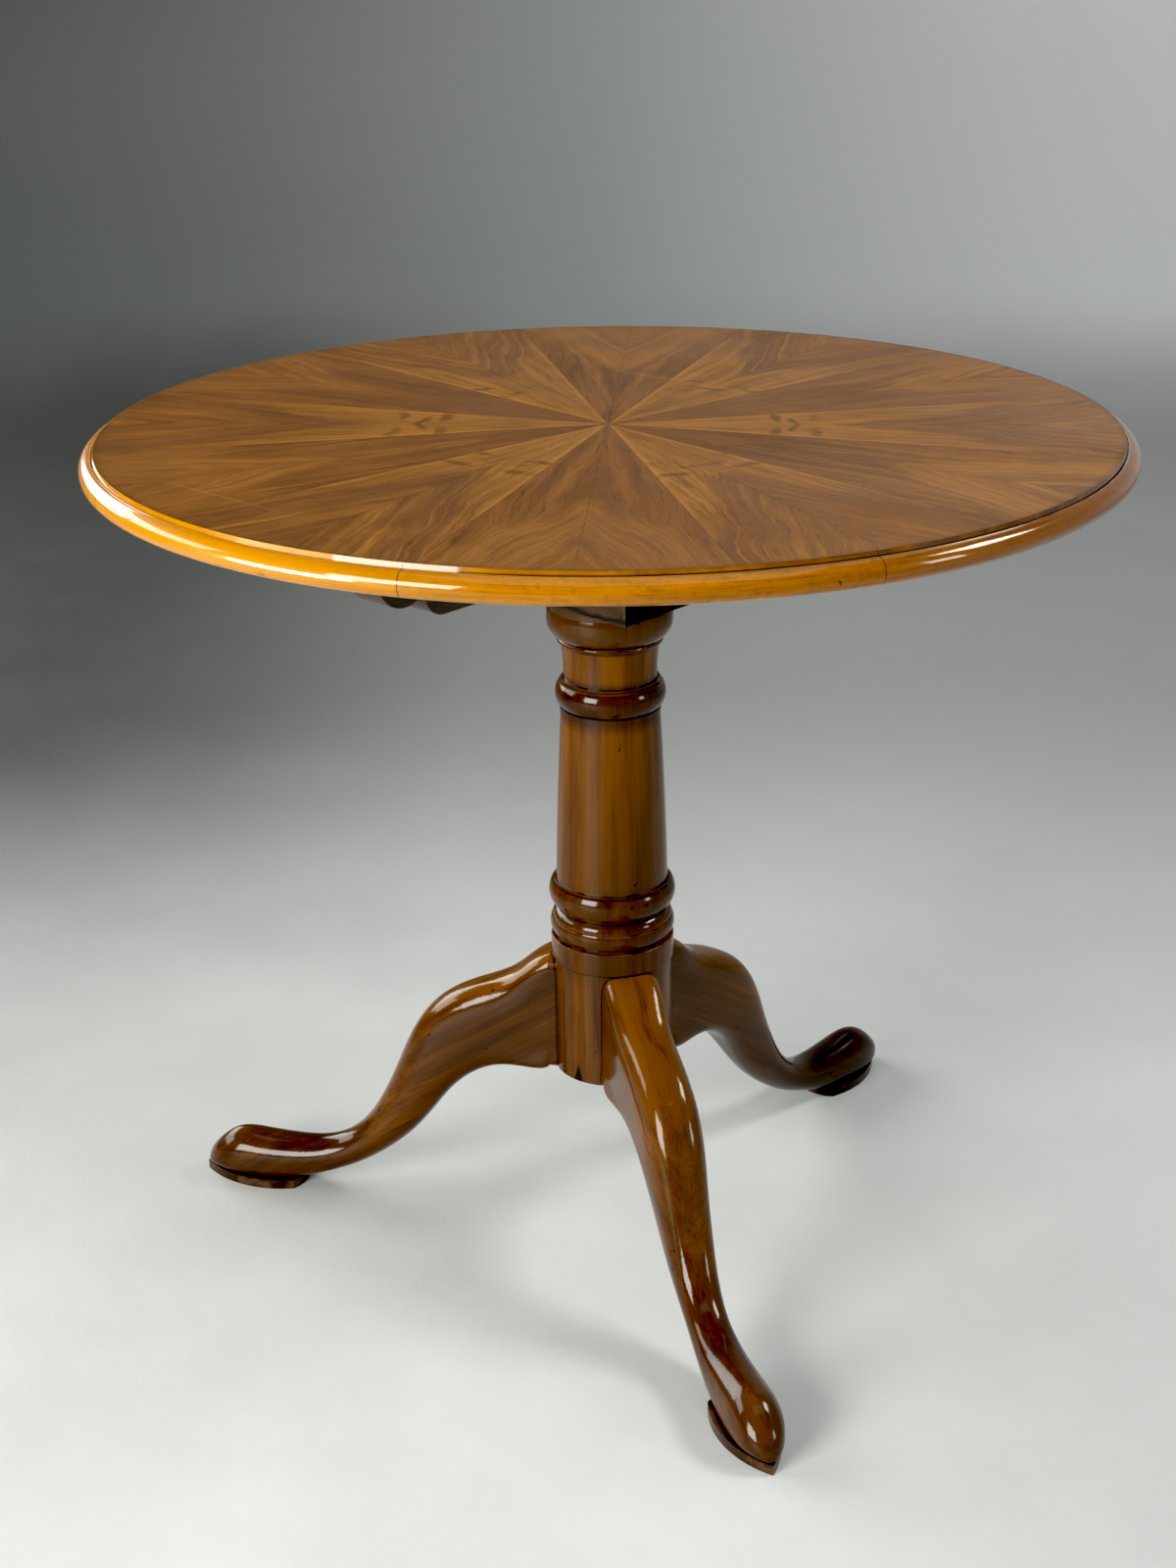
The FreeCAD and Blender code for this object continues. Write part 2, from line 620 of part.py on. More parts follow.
def make_wedge():
    """The tapered key through the spindle, and the slot that it runs in."""
    low = "ring_top"
    start = "-wedge_length * wedge_reach_share"
    end = "wedge_length * (1 - wedge_reach_share)"
    corners = [
        (start, low),
        (end, low),
        (end, "ring_top + wedge_thick_height"),
        (start, "ring_top + wedge_thin_height"),
    ]
    wedge = padded("cage_wedge", "XZ_Plane", corners, "wedge_thickness", True)
    slope = "(wedge_thick_height - wedge_thin_height) / wedge_length"
    top = f"wedge_thin_height + {slope} * (wedge_length * wedge_reach_share + spindle_radius) + wedge_fit"
    slot = box(
        "wedge_slot",
        "-spindle_radius - wedge_fit",
        "-wedge_thickness / 2 - wedge_fit",
        "ring_top - wedge_fit",
        "2 * (spindle_radius + wedge_fit)",
        "wedge_thickness + 2 * wedge_fit",
        f"{top} + wedge_fit",
    )
    return wedge, slot


def make_base():
    """Column, legs, collar ring and wedge: all that stays still on the floor."""
    legs, pockets = make_legs(["leg_rear", "leg_left", "leg_right"])
    wedge, slot = make_wedge()
    column = cut("column", make_column(), group("column_cuts", pockets + [slot]))
    ring = turned(
        "collar_ring",
        [
            ("spindle_radius + ring_fit", "ring_bottom"),
            ("ring_radius - ring_round", "ring_bottom", "quarter_share"),
            ("ring_radius", "ring_bottom + ring_round"),
            ("ring_radius", "ring_top - ring_round", "quarter_share"),
            ("ring_radius - ring_round", "ring_top"),
            ("spindle_radius + ring_fit", "ring_top"),
        ],
    )
    return [column, ring, wedge] + legs


# Wood screws


def screw(name, x, y, z, kind, length, along="Z"):
    """A countersunk screw driven from a face; x, y, z is the middle of its head's face.
    It points along +Z, or along -Y when along is Y."""
    radius, head, height = f"{kind}shank_radius", f"{kind}head_radius", f"{kind}head_height"
    if along == "Z":
        body = cylinder(name + "_shank", x, y, z, radius, length)
        top = cone(name + "_head", x, y, z, head, radius, height)
        start = [f"{x} - {head}", f"{y} - screw_slot_width / 2", z]
        size = [f"2 * {head}", "screw_slot_width", "screw_slot_depth"]
    else:
        body = cylinder(name + "_shank", x, f"{y} - ({length})", z, radius, length, "Y")
        top = cone(name + "_head", x, f"{y} - {height}", z, radius, head, height, "Y")
        start = [f"{x} - {head}", f"{y} - screw_slot_depth", f"{z} - screw_slot_width / 2"]
        size = [f"2 * {head}", "screw_slot_depth", "screw_slot_width"]
    return cut(name, fuse(name + "_whole", [body, top]), box(name + "_slot", *start, *size))


def screw_hole(name, x, y, z, kind, length, sink="0", along="Z"):
    """The hole for that screw, with its countersink and the well that sinks its head."""
    radius, head = f"{kind}shank_radius + screw_fit", f"{kind}head_radius + screw_fit"
    height = f"{kind}head_height"
    if along == "Z":
        parts = [
            cylinder(name + "_bore", x, y, z, radius, f"{length} + screw_fit"),
            cone(name + "_sink", x, y, z, head, radius, height),
            cylinder(name + "_well", x, y, f"{z} - ({sink}) - screw_fit", head, f"{sink} + screw_fit"),
        ]
    else:
        deep = f"{length} + screw_fit"
        parts = [
            cylinder(name + "_bore", x, f"{y} - ({deep})", z, radius, deep, "Y"),
            cone(name + "_sink", x, f"{y} - {height}", z, radius, head, height, "Y"),
            cylinder(name + "_well", x, y, z, head, f"{sink} + screw_fit", "Y"),
        ]
    return fuse(name, parts)


def screws_at(name, spots, kind, length, sink="0", along="Z"):
    """A node of screws and one group of their holes."""
    made, holes = [], []
    for i, spot in enumerate(spots, 1):
        made.append(screw(f"{name}_{i}", *spot, kind, length, along))
        holes.append(screw_hole(f"{name}_hole_{i}", *spot, kind, length, sink, along))
    return group(name, made), group(name + "_holes", holes)


# The top


def make_leaves():
    """The sunburst: pairs of light leaves and pairs of dark leaves in turn."""
    sets = {"light": [], "dark": []}
    for index in range(int(value("leaf_count"))):
        leaf = doc.addObject("Part::Cylinder", f"leaf_{index + 1}")
        bind(leaf, Radius="core_radius", Height="veneer_thickness", Angle="360 / leaf_count")
        bind(leaf, z="table_height - veneer_thickness", turn=f"leaf_turn + {index} * 360 / leaf_count")
        sets["light" if (index + 1) // 2 % 2 else "dark"].append(leaf)
    return [group(f"veneer_{tone}_leaves", leaves) for tone, leaves in sets.items()]


def make_core(holes):
    """The boards under the veneer, edge to edge across the bearers."""
    boards = []
    height = "top_thickness - veneer_thickness"
    disc_size = dict(Radius="core_radius", Height=height, z="underside_z")
    for index in range(int(value("board_count"))):
        start = f"-core_radius + {index} * 2 * core_radius / board_count"
        plank = box(
            f"plank_{index + 1}",
            "-core_radius",
            start,
            "underside_z",
            "2 * core_radius",
            "2 * core_radius / board_count",
            height,
        )
        disc = bind(doc.addObject("Part::Cylinder", f"plank_round_{index + 1}"), **disc_size)
        boards.append(common(f"board_{index + 1}", plank, disc))
    return cut("core_boards", group("boards_whole", boards), holes)


def make_edge(index):
    """One length of the edge moulding: a land, a step, a groove and a half-round nose."""
    nose = "top_radius - nose_radius"
    crown = "table_height - edge_step_height"
    corners = [
        ("core_radius", "underside_z"),
        (nose, "underside_z", "quarter_share"),
        ("top_radius", "underside_z + nose_radius", "quarter_share"),
        (nose, crown),
        (f"{nose} - quirk_width / 2", f"{crown} - quirk_depth"),
        (f"{nose} - quirk_width * 3 / 2", f"{crown} - quirk_depth"),
        ("core_radius + edge_land", "table_height"),
        ("core_radius", "table_height"),
    ]
    edge = turned(f"edge_moulding_{index + 1}", corners, "360 / edge_count")
    return bind(edge, turn=f"edge_turn + {index} * 360 / edge_count")


def make_bearer(name, side, holes):
    """A batten under the top with shaped ends, bored for the hinge dowel and the screws."""
    half = "bearer_length / 2"
    nose = f"{half} - bearer_nose_length"
    lobe = f"{nose} - bearer_lobe_length"
    cusp = "underside_z - bearer_cusp_depth"
    tip = "underside_z - bearer_end_depth"
    corners = [
        (f"-({half})", "underside_z"),
        (f"-({half})", tip, "nose_bow_share"),
        (f"-({nose})", cusp, "lobe_bow_share"),
        (f"-({lobe})", "bearer_bottom"),
        (lobe, "bearer_bottom", "lobe_bow_share"),
        (nose, cusp, "nose_bow_share"),
        (half, tip),
        (half, "underside_z"),
    ]
    batten = padded(name + "_batten", "YZ_Plane", corners, "bearer_width")
    bind(batten, x="bearer_x" if side > 0 else "-bearer_x - bearer_width")
    bore = cylinder(
        name + "_bore",
        "bearer_x - bearer_gap" if side > 0 else "-bearer_x - bearer_width - bearer_gap",
        "hinge_y",
        "hinge_z",
        "pin_radius + pin_fit",
        "bearer_width + 2 * bearer_gap",
        "X",
    )
    return cut(name, batten, group(name + "_cuts", [bore, holes]))


def make_catch(holes):
    """The brass case under the top, with its sliding bolt and the bolt's knob."""
    width = "bolt_width + 2 * bolt_fit"
    outer = f"{width} + 2 * case_wall"
    block = box(
        "case_block",
        f"-({outer}) / 2",
        "case_start",
        "case_bottom",
        outer,
        "case_length",
        "underside_z - case_bottom",
    )
    flange = box(
        "case_flange",
        "-flange_width / 2",
        "case_start",
        "underside_z - flange_thickness",
        "flange_width",
        "flange_length",
        "flange_thickness",
    )
    channel = box(
        "case_channel",
        f"-({width}) / 2",
        "case_start - case_wall",
        "bolt_bottom - bolt_fit",
        width,
        "bolt_nose_y + bolt_length + bolt_fit - case_start + case_wall",
        "bolt_height + 2 * bolt_fit",
    )
    stem = "knob_stem_radius + bolt_fit"
    slot = fuse(
        "case_slot",
        [
            box(
                "case_slot_run",
                f"-({stem})",
                "knob_y - bolt_travel",
                "case_bottom - case_floor",
                f"2 * ({stem})",
                "bolt_travel",
                "3 * case_floor",
            ),
            cylinder("case_slot_back", "0", "knob_y", "case_bottom - case_floor", stem, "3 * case_floor"),
            cylinder(
                "case_slot_front",
                "0",
                "knob_y - bolt_travel",
                "case_bottom - case_floor",
                stem,
                "3 * case_floor",
            ),
        ],
    )
    case = cut("catch_case", fuse("case_whole", [block, flange]), group("case_cuts", [channel, slot, holes]))
    corners = [
        ("bolt_nose_y", "bolt_bottom"),
        ("bolt_nose_y + bolt_length", "bolt_bottom"),
        ("bolt_nose_y + bolt_length", "bolt_top"),
        ("bolt_nose_y + bolt_height - bolt_nose_height", "bolt_top"),
        ("bolt_nose_y", "bolt_bottom + bolt_nose_height"),
    ]
    bar = padded("bolt_bar", "YZ_Plane", corners, "bolt_width", True)
    socket = cylinder("bolt_socket", "0", "knob_y", "bolt_bottom", "knob_stem_radius", "knob_stem_bite")
    bolt = cut("catch_bolt", bar, socket)
    knob_top = "case_bottom - knob_gap"
    knob = turned(
        "catch_knob",
        [
            ("0", f"{knob_top} - knob_height"),
            ("knob_radius * knob_face_share", f"{knob_top} - knob_height", "quarter_share"),
            ("knob_radius", f"{knob_top} - knob_height / 2", "quarter_share"),
            ("knob_stem_radius * knob_neck_share", knob_top),
            ("knob_stem_radius", knob_top),
            ("knob_stem_radius", "bolt_bottom + knob_stem_bite"),
            ("0", "bolt_bottom + knob_stem_bite"),
        ],
    )
    bind(knob, y="knob_y")
    return [case, bolt, knob]


def make_top():
    """Everything that tilts: leaves, core, edge, bearers, catch and the screws."""
    middle = "bearer_x + bearer_width / 2"
    seat = "bearer_bottom + screw_sink"
    length = "bearer_depth - screw_sink + screw_bite"
    spots = {}
    for name, x in (("right", middle), ("left", f"-({middle})")):
        shares = ("-screw_outer_share", "-screw_inner_share", "screw_inner_share", "screw_outer_share")
        spots[name] = [(x, f"bearer_length * ({share})", seat) for share in shares]
    right_screws, right_holes = screws_at(
        "bearer_screws_right", spots["right"], "screw_", length, "screw_sink"
    )
    left_screws, left_holes = screws_at("bearer_screws_left", spots["left"], "screw_", length, "screw_sink")
    inset = "flange_width / 2 - case_screw_inset"
    face = "underside_z - flange_thickness"
    catch_spots = [
        (f"({inset}) * {side}", place, face)
        for side in (-1, 1)
        for place in ("case_start + case_screw_inset", "case_start + flange_length - case_screw_inset")
    ]
    catch_screws, catch_holes = screws_at(
        "catch_screws", catch_spots, "case_screw_", "flange_thickness + case_screw_bite"
    )
    core = make_core(group("core_holes", [right_holes, left_holes, catch_holes]))
    edges = [make_edge(index) for index in range(int(value("edge_count")))]
    bearers = [make_bearer("bearer_right", 1, right_holes), make_bearer("bearer_left", -1, left_holes)]
    screws = [right_screws, left_screws, catch_screws]
    return make_leaves() + [core] + edges + bearers + screws + make_catch(catch_holes)


# The cage


def square_plate(name, front, bottom, thickness):
    """A square plate with eased corners; front is where it ends towards the hinge."""
    half, ease = "cage_half", "plate_arris"
    corners = [
        (f"-{half} + {ease}", front),
        (f"{half} - {ease}", front),
        (half, f"{front} + {ease}"),
        (half, f"{half} - {ease}"),
        (f"{half} - {ease}", half),
        (f"-{half} + {ease}", half),
        (f"-{half}", f"{half} - {ease}"),
        (f"-{half}", f"{front} + {ease}"),
    ]
    return bind(padded(name, "XY_Plane", corners, thickness), z=bottom)


def baluster_spots():
    return [(f"{x} * baluster_place", f"{y} * baluster_place") for x in (-1, 1) for y in (-1, 1)]


def tenon_holes(name, bottom):
    """Four mortises for the balusters' tenons."""
    holes = [
        cylinder(f"{name}_{i}", x, y, bottom, "tenon_radius + tenon_fit", "tenon_length + tenon_fit")
        for i, (x, y) in enumerate(baluster_spots(), 1)
    ]
    return group(name, holes)


def make_baluster(index, x, y):
    """A small turned baluster with a round tenon at each end."""
    low, high = "lower_plate_top", "upper_plate_bottom"
    swell = "lower_plate_top + cage_opening * baluster_swell_share"
    bead = "lower_plate_top + cage_opening * baluster_bead_share"
    corners = [
        ("0", f"{low} - tenon_length"),
        ("tenon_radius", f"{low} - tenon_length"),
        ("tenon_radius", low),
        ("baluster_base_radius", low),
        ("baluster_base_radius", f"{low} + baluster_base_height"),
        ("baluster_neck_radius", f"{low} + baluster_base_height", "swell_lower_bow_share"),
        ("baluster_swell_radius", swell, "swell_upper_bow_share"),
        ("baluster_neck_radius", f"{bead} - baluster_bead_height"),
        ("baluster_bead_radius", f"{bead} - baluster_bead_height"),
        ("baluster_bead_radius", bead),
        ("baluster_neck_radius", bead),
        ("baluster_neck_radius", f"{high} - baluster_base_height"),
        ("baluster_base_radius", f"{high} - baluster_base_height"),
        ("baluster_base_radius", high),
        ("tenon_radius", high),
        ("tenon_radius", f"{high} + tenon_length"),
        ("0", f"{high} + tenon_length"),
    ]
    return bind(turned(f"cage_baluster_{index}", corners), x=x, y=y)


def make_strike():
    """The brass plate let into the cage's edge for the bolt, and its two screws."""
    middle = "(bolt_top + bolt_bottom) / 2"
    bottom = "strike_top - strike_height"
    plate = box(
        "strike_blank",
        "-strike_width / 2",
        "cage_half - strike_thickness",
        bottom,
        "strike_width",
        "strike_thickness",
        "strike_height",
    )
    mortise = box(
        "strike_mortise",
        "-bolt_width / 2 - strike_hole_play",
        "bolt_nose_y - bolt_travel - strike_hole_play",
        "bolt_bottom - strike_hole_play",
        "bolt_width + 2 * strike_hole_play",
        "bolt_travel",
        "bolt_height + 2 * strike_hole_play",
    )
    inset = "strike_width / 2 - strike_screw_inset"
    spots = [(f"({inset}) * {side}", "cage_half", middle) for side in (-1, 1)]
    length = "strike_thickness + case_screw_bite"
    screws, holes = screws_at("strike_screws", spots, "case_screw_", length, along="Y")
    strike = cut("strike_plate", plate, group("strike_cuts", [mortise, holes]))
    return strike, screws, group("edge_cuts", [plate, mortise, holes])


def make_cage():
    """Everything that turns on the spindle: plates, balusters, hinge dowels and strike."""
    lower = square_plate(
        "lower_blank", "-cage_half + lower_plate_setback", "lower_plate_bottom", "lower_plate_thickness"
    )
    lower_bore = cylinder(
        "lower_bore",
        "0",
        "0",
        "lower_plate_bottom - seat_gap",
        "spindle_radius + spindle_fit",
        "lower_plate_thickness + 2 * seat_gap",
    )
    lower_mortises = tenon_holes("lower_mortises", "lower_plate_top - tenon_length - tenon_fit")
    lower_plate = cut("lower_cage_plate", lower, group("lower_cuts", [lower_bore, lower_mortises]))
    upper = square_plate("upper_blank", "hinge_y", "upper_plate_bottom", "upper_plate_thickness")
    rounded = cylinder(
        "upper_round", "-cage_half", "hinge_y", "hinge_z", "upper_plate_thickness / 2", "cage_side", "X"
    )
    upper_bore = cylinder(
        "upper_bore",
        "0",
        "0",
        "upper_plate_bottom - seat_gap",
        "spindle_tip_radius + spindle_fit",
        "upper_plate_thickness + 2 * seat_gap",
    )
    seats, pins = [], []
    for side, name in ((1, "hinge_dowel_right"), (-1, "hinge_dowel_left")):
        end = "cage_half - pin_seat_depth" if side > 0 else "-bearer_x - bearer_width + pin_end_inset"
        length = "pin_seat_depth + bearer_gap + bearer_width - pin_end_inset"
        pins.append(cylinder(name, end, "hinge_y", "hinge_z", "pin_radius", length, "X"))
        seat_start = "cage_half - pin_seat_depth - pin_seat_fit" if side > 0 else "-cage_half"
        seats.append(
            cylinder(
                name + "_seat",
                seat_start,
                "hinge_y",
                "hinge_z",
                "pin_radius + pin_seat_fit",
                "pin_seat_depth + pin_seat_fit",
                "X",
            )
        )
    strike, strike_screws, edge_cuts = make_strike()
    upper_mortises = tenon_holes("upper_mortises", "upper_plate_bottom")
    upper_cuts = group("upper_cuts", [upper_bore, upper_mortises, edge_cuts] + seats)
    upper_plate = cut("upper_cage_plate", fuse("upper_whole", [upper, rounded]), upper_cuts)
    balusters = [make_baluster(i, x, y) for i, (x, y) in enumerate(baluster_spots(), 1)]
    return [lower_plate, upper_plate] + balusters + pins + [strike, strike_screws]


def check(nodes):
    """Stops when a piece failed to build, is empty or isn't closed."""
    for item in doc.Objects:
        if {"Invalid", "Error"} & set(item.State):
            raise RuntimeError(f"{item.Name} didn't recompute: {item.State}")
    for node in nodes:
        shape = node.Shape
        if shape.isNull() or not shape.isValid() or not shape.Solids or shape.Volume <= 0:
            raise RuntimeError(f"{node.Label} isn't a sound solid")


def write(nodes):
    os.makedirs("parts", exist_ok=True)
    for node in nodes:
        node.Shape.exportStep(f"parts/{node.Label}.step")
        print(node.Label, len(node.Shape.Solids), round(node.Shape.Volume))


nodes = make_base() + make_cage() + make_top()
doc.recompute()
check(nodes)
write(nodes)
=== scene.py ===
import math

import bmesh
import bpy
from mathutils import Euler, Matrix, Vector

# A round tilt-top side table: sunburst veneer in an amber edge, a dark cage under it, and a
# polished column on three curved legs. Lengths are in metres and angles in degrees. The table
# stands on z = 0, and its column stands upright on the z axis.

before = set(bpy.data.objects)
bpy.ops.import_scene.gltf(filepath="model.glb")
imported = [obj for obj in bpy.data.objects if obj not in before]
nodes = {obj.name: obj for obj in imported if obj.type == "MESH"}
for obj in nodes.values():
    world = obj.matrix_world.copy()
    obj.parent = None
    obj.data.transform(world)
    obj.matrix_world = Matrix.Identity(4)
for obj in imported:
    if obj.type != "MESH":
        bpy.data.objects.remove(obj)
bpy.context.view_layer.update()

# The top: heights, radii, and the sectors of its pairs of leaves and of its edge lengths.
# At the step radius the edge steps down from its flat rim to its rounded nose.
TOP_Z = 0.72
NOSE_TOP_Z = TOP_Z - 0.0037
UNDERSIDE_Z = 0.6974
TOP_RADIUS = 0.41
STEP_RADIUS = 0.40
LEAVES_RADIUS = 0.39815
PAIR_START, PAIR_SPAN = 24, 30
EDGE_START, EDGE_SPAN = 23, 45
BOARD_WIDTH = LEAVES_RADIUS * 2 / 5

# The cage's lower plate.
PLATE_FACE_X = 0.0915
PLATE_CORNER_Y = -0.084
PLATE_TOP_Z = 0.6113
PLATE_BOTTOM_Z = 0.5923

# The column's heights, and where the legs meet its drum.
DRUM_BOTTOM_Z = 0.157
DRUM_RADIUS = 0.0522
SHAFT_Z = (0.335, 0.477)
NECK_Z = (0.515, 0.542)
CAPITAL_Z = 0.545
# Heights of the grooves darkened with painted shade and dirt, and of the rings' edges lightened
# with painted highlight and rubbing.
SHADED_DIRTY_GROOVES_Z = (0.2607, 0.3072, 0.3325, 0.4866, 0.5414)
LIT_RUBBED_RINGS_Z = (0.2810, 0.2975, 0.3334, 0.5085, 0.5460, 0.5720)
SPLIT_HEIGHT = 0.0155
SPLIT_BEARING = -84.3

# The legs.
PAD_TOP_Z = 0.0086
LEG_LEAN = 56

# Two fixed level directions: sideways, where the amber edge turns browner, partly with painted
# shade, and painted light makes the wall lighter; and backwards, where painted shade darkens
# the floor.
SIDE_WAY = (0.736, 0.677)
BACK_WAY = (-0.681, 0.732)


# Finishes


class Finish:
    """One finish: a glossy shader, the place on the object, and short calls for its nodes."""

    def __init__(self, name):
        self.material = bpy.data.materials.new(name)
        self.material.use_nodes = True
        self.tree = self.material.node_tree
        self.tree.nodes.clear()
        self.shader = self.tree.nodes.new("ShaderNodeBsdfPrincipled")
        surface = self.tree.nodes.new("ShaderNodeOutputMaterial")
        self.tree.links.new(self.shader.outputs["BSDF"], surface.inputs["Surface"])
        where = self.tree.nodes.new("ShaderNodeTexCoord")
        self.place = where.outputs["Object"]
        self.facing = where.outputs["Normal"]

    def feed(self, socket, value):
        if isinstance(value, bpy.types.NodeSocket):
            self.tree.links.new(value, socket)
        elif hasattr(value, "__len__") and len(value) == 3 and socket.type == "RGBA":
            socket.default_value = (*value, 1)
        else:
            socket.default_value = value

    def maths(self, operation, *values, clamp=False):
        node = self.tree.nodes.new("ShaderNodeMath")
        node.operation = operation
        node.use_clamp = clamp
        for socket, value in zip(node.inputs, values):
            self.feed(socket, value)
        return node.outputs[0]

    def add(self, a, b):
        return self.maths("ADD", a, b)

    def less(self, a, b):
        return self.maths("SUBTRACT", a, b)

    def times(self, a, b):
        return self.maths("MULTIPLY", a, b)

    def larger(self, a, b):
        return self.maths("MAXIMUM", a, b)

    def length(self, a, b):
        """The length of a way that goes a along one axis and b along another."""
        return self.maths("SQRT", self.add(self.times(a, a), self.times(b, b)))

    def along_way(self, x, y, way):
        """How far a place lies along a level direction."""
        return self.add(self.times(x, way[0]), self.times(y, way[1]))

    def step(self, value, low, high, bottom=0.0, top=1.0):
        """Runs smoothly from bottom to top while the value runs from low to high."""
        node = self.tree.nodes.new("ShaderNodeMapRange")
        node.interpolation_type = "SMOOTHSTEP"
        for socket, number in zip(node.inputs, (value, low, high, bottom, top)):
            self.feed(socket, number)
        return node.outputs[0]

    def near(self, value, middle, reach):
        """One where the value is at its middle, and nothing past the reach on either side."""
        return self.step(self.maths("ABSOLUTE", self.less(value, middle)), reach, 0.0)

    def between(self, value, ends, soft):
        """One between the two ends, fading over the soft length on both sides of each."""
        low, high = ends
        rising = self.step(value, low - soft, low + soft)
        return self.times(rising, self.step(value, high + soft, high - soft))

    def sway(self, share, width):
        """A share from 0 to 1 as an amount from minus half the width to plus half of it."""
        return self.times(self.less(share, 0.5), width)

    def vector(self, x, y, z):
        node = self.tree.nodes.new("ShaderNodeCombineXYZ")
        for socket, value in zip(node.inputs, (x, y, z)):
            self.feed(socket, value)
        return node.outputs[0]

    def split(self, vector):
        node = self.tree.nodes.new("ShaderNodeSeparateXYZ")
        self.feed(node.inputs[0], vector)
        return node.outputs

    def moved(self, vector, scale=(1, 1, 1), turn=(0, 0, 0), shift=(0, 0, 0)):
        node = self.tree.nodes.new("ShaderNodeMapping")
        self.feed(node.inputs["Vector"], vector)
        node.inputs["Scale"].default_value = scale
        node.inputs["Rotation"].default_value = [math.radians(angle) for angle in turn]
        node.inputs["Location"].default_value = shift
        return node.outputs[0]

    def sector(self, start, span):
        """Distance from the middle, the number of the sector, and the angle off its middle."""
        x, y, _ = self.split(self.place)
        angle = self.maths("ARCTAN2", y, x)
        turns = self.less(self.times(angle, 180 / math.pi / span), start / span)
        number = self.maths("FLOOR", turns)
        off = self.times(self.less(self.less(turns, number), 0.5), math.radians(span))
        return self.length(x, y), self.maths("WRAP", number, 360 / span, 0.0), off

    def noise(self, vector, scale=1.0, detail=3.0, rough=0.5, twist=0.0):
        node = self.tree.nodes.new("ShaderNodeTexNoise")
        self.feed(node.inputs["Vector"], vector)
        node.inputs["Scale"].default_value = scale
        node.inputs["Detail"].default_value = detail
        node.inputs["Roughness"].default_value = rough
        node.inputs["Distortion"].default_value = twist
        return node.outputs["Fac"]

    def chance(self, value):
        """A number from 0 to 1 that is fixed for each whole value."""
        node = self.tree.nodes.new("ShaderNodeTexWhiteNoise")
        node.noise_dimensions = "1D"
        self.feed(node.inputs["W"], value)
        return node.outputs["Value"]

    def specks(self, vector, scale, size):
        """Small round dots, one in each cell of the given scale."""
        node = self.tree.nodes.new("ShaderNodeTexVoronoi")
        self.feed(node.inputs["Vector"], vector)
        node.inputs["Scale"].default_value = scale
        return self.step(node.outputs["Distance"], size, size * 0.5)

    def tones(self, value, *stops):
        """A colour that runs through the stops, each a place from 0 to 1 and its colour."""
        node = self.tree.nodes.new("ShaderNodeValToRGB")
        ramp = node.color_ramp
        while len(ramp.elements) < len(stops):
            ramp.elements.new(0.5)
        for element, (place, colour) in zip(ramp.elements, stops):
            element.position = place
            element.color = (*colour, 1)
        self.feed(node.inputs[0], value)
        return node.outputs[0]

    def blend(self, share, a, b, mode="MIX"):
        """Colour a, turning into colour b as the share goes to one."""
        node = self.tree.nodes.new("ShaderNodeMix")
        node.data_type = "RGBA"
        node.blend_type = mode
        self.feed(node.inputs[0], share)
        self.feed(node.inputs[6], a)
        self.feed(node.inputs[7], b)
        return node.outputs[2]

    def dimmed(self, colour, share, amount):
        """The colour, darker by the amount where the share is one."""
        grey = self.tones(share, (0.0, (1, 1, 1)), (1.0, (1 - amount,) * 3))
        return self.blend(1.0, colour, grey, "MULTIPLY")

    def dirt_and_painted_shade(self, reach):
        """Painted shade and dirt: one in deep corners and nothing on open faces."""
        node = self.tree.nodes.new("ShaderNodeAmbientOcclusion")
        node.samples = 8
        node.inputs["Distance"].default_value = reach
        return self.maths("SUBTRACT", 1.0, node.outputs["AO"], clamp=True)

    def relief(self, height, depth):
        node = self.tree.nodes.new("ShaderNodeBump")
        node.inputs["Strength"].default_value = 1.0
        node.inputs["Distance"].default_value = depth
        self.feed(node.inputs["Height"], height)
        self.tree.links.new(node.outputs[0], self.shader.inputs["Normal"])

    def close(self, colour, rough, coat=0.0, coat_rough=0.1, metal=0.0, gloss=0.5):
        self.feed(self.shader.inputs["Base Color"], colour)
        self.feed(self.shader.inputs["Roughness"], rough)
        self.shader.inputs["Metallic"].default_value = metal
        self.shader.inputs["Specular IOR Level"].default_value = gloss
        self.shader.inputs["Coat Weight"].default_value = coat
        self.shader.inputs["Coat Roughness"].default_value = coat_rough
        return self.material


# The two kinds of leaf. The arch starts at the apex. The flanks' tones go by the distance
# from the middle of the top, and the heart's by the distance inside the arch.
LIGHT_LEAVES = {
    "apex": 0.178,
    "deep": (0.165, 0.060, 0.013),
    "pale": (0.470, 0.196, 0.034),
    "flank": (
        (0.17, (0.350, 0.144, 0.022)),
        (0.28, (0.315, 0.128, 0.021)),
        (0.36, (0.265, 0.106, 0.020)),
    ),
    "heart": (
        (0.0, (0.205, 0.078, 0.019)),
        (0.30, (0.225, 0.087, 0.020)),
        (0.62, (0.285, 0.113, 0.022)),
        (1.0, (0.255, 0.100, 0.020)),
    ),
    "tone_draw": 21.3,
}
DARK_LEAVES = {
    "apex": 0.226,
    "deep": (0.130, 0.046, 0.010),
    "pale": (0.410, 0.168, 0.030),
    "flank": (
        (0.16, (0.212, 0.080, 0.015)),
        (0.27, (0.225, 0.085, 0.016)),
        (0.36, (0.255, 0.099, 0.018)),
    ),
    "heart": (
        (0.0, (0.330, 0.132, 0.024)),
        (0.30, (0.305, 0.122, 0.022)),
        (0.62, (0.260, 0.101, 0.020)),
        (1.0, (0.285, 0.113, 0.021)),
    ),
    "tone_draw": 4.1,
}

# Each knot's place along its leaf and off the joint, its length and its width.
KNOTS = (
    (0.131, 0.023, 0.015, 0.0044),
    (0.163, 0.029, 0.015, 0.0046),
    (0.147, 0.010, 0.012, 0.0036),
)


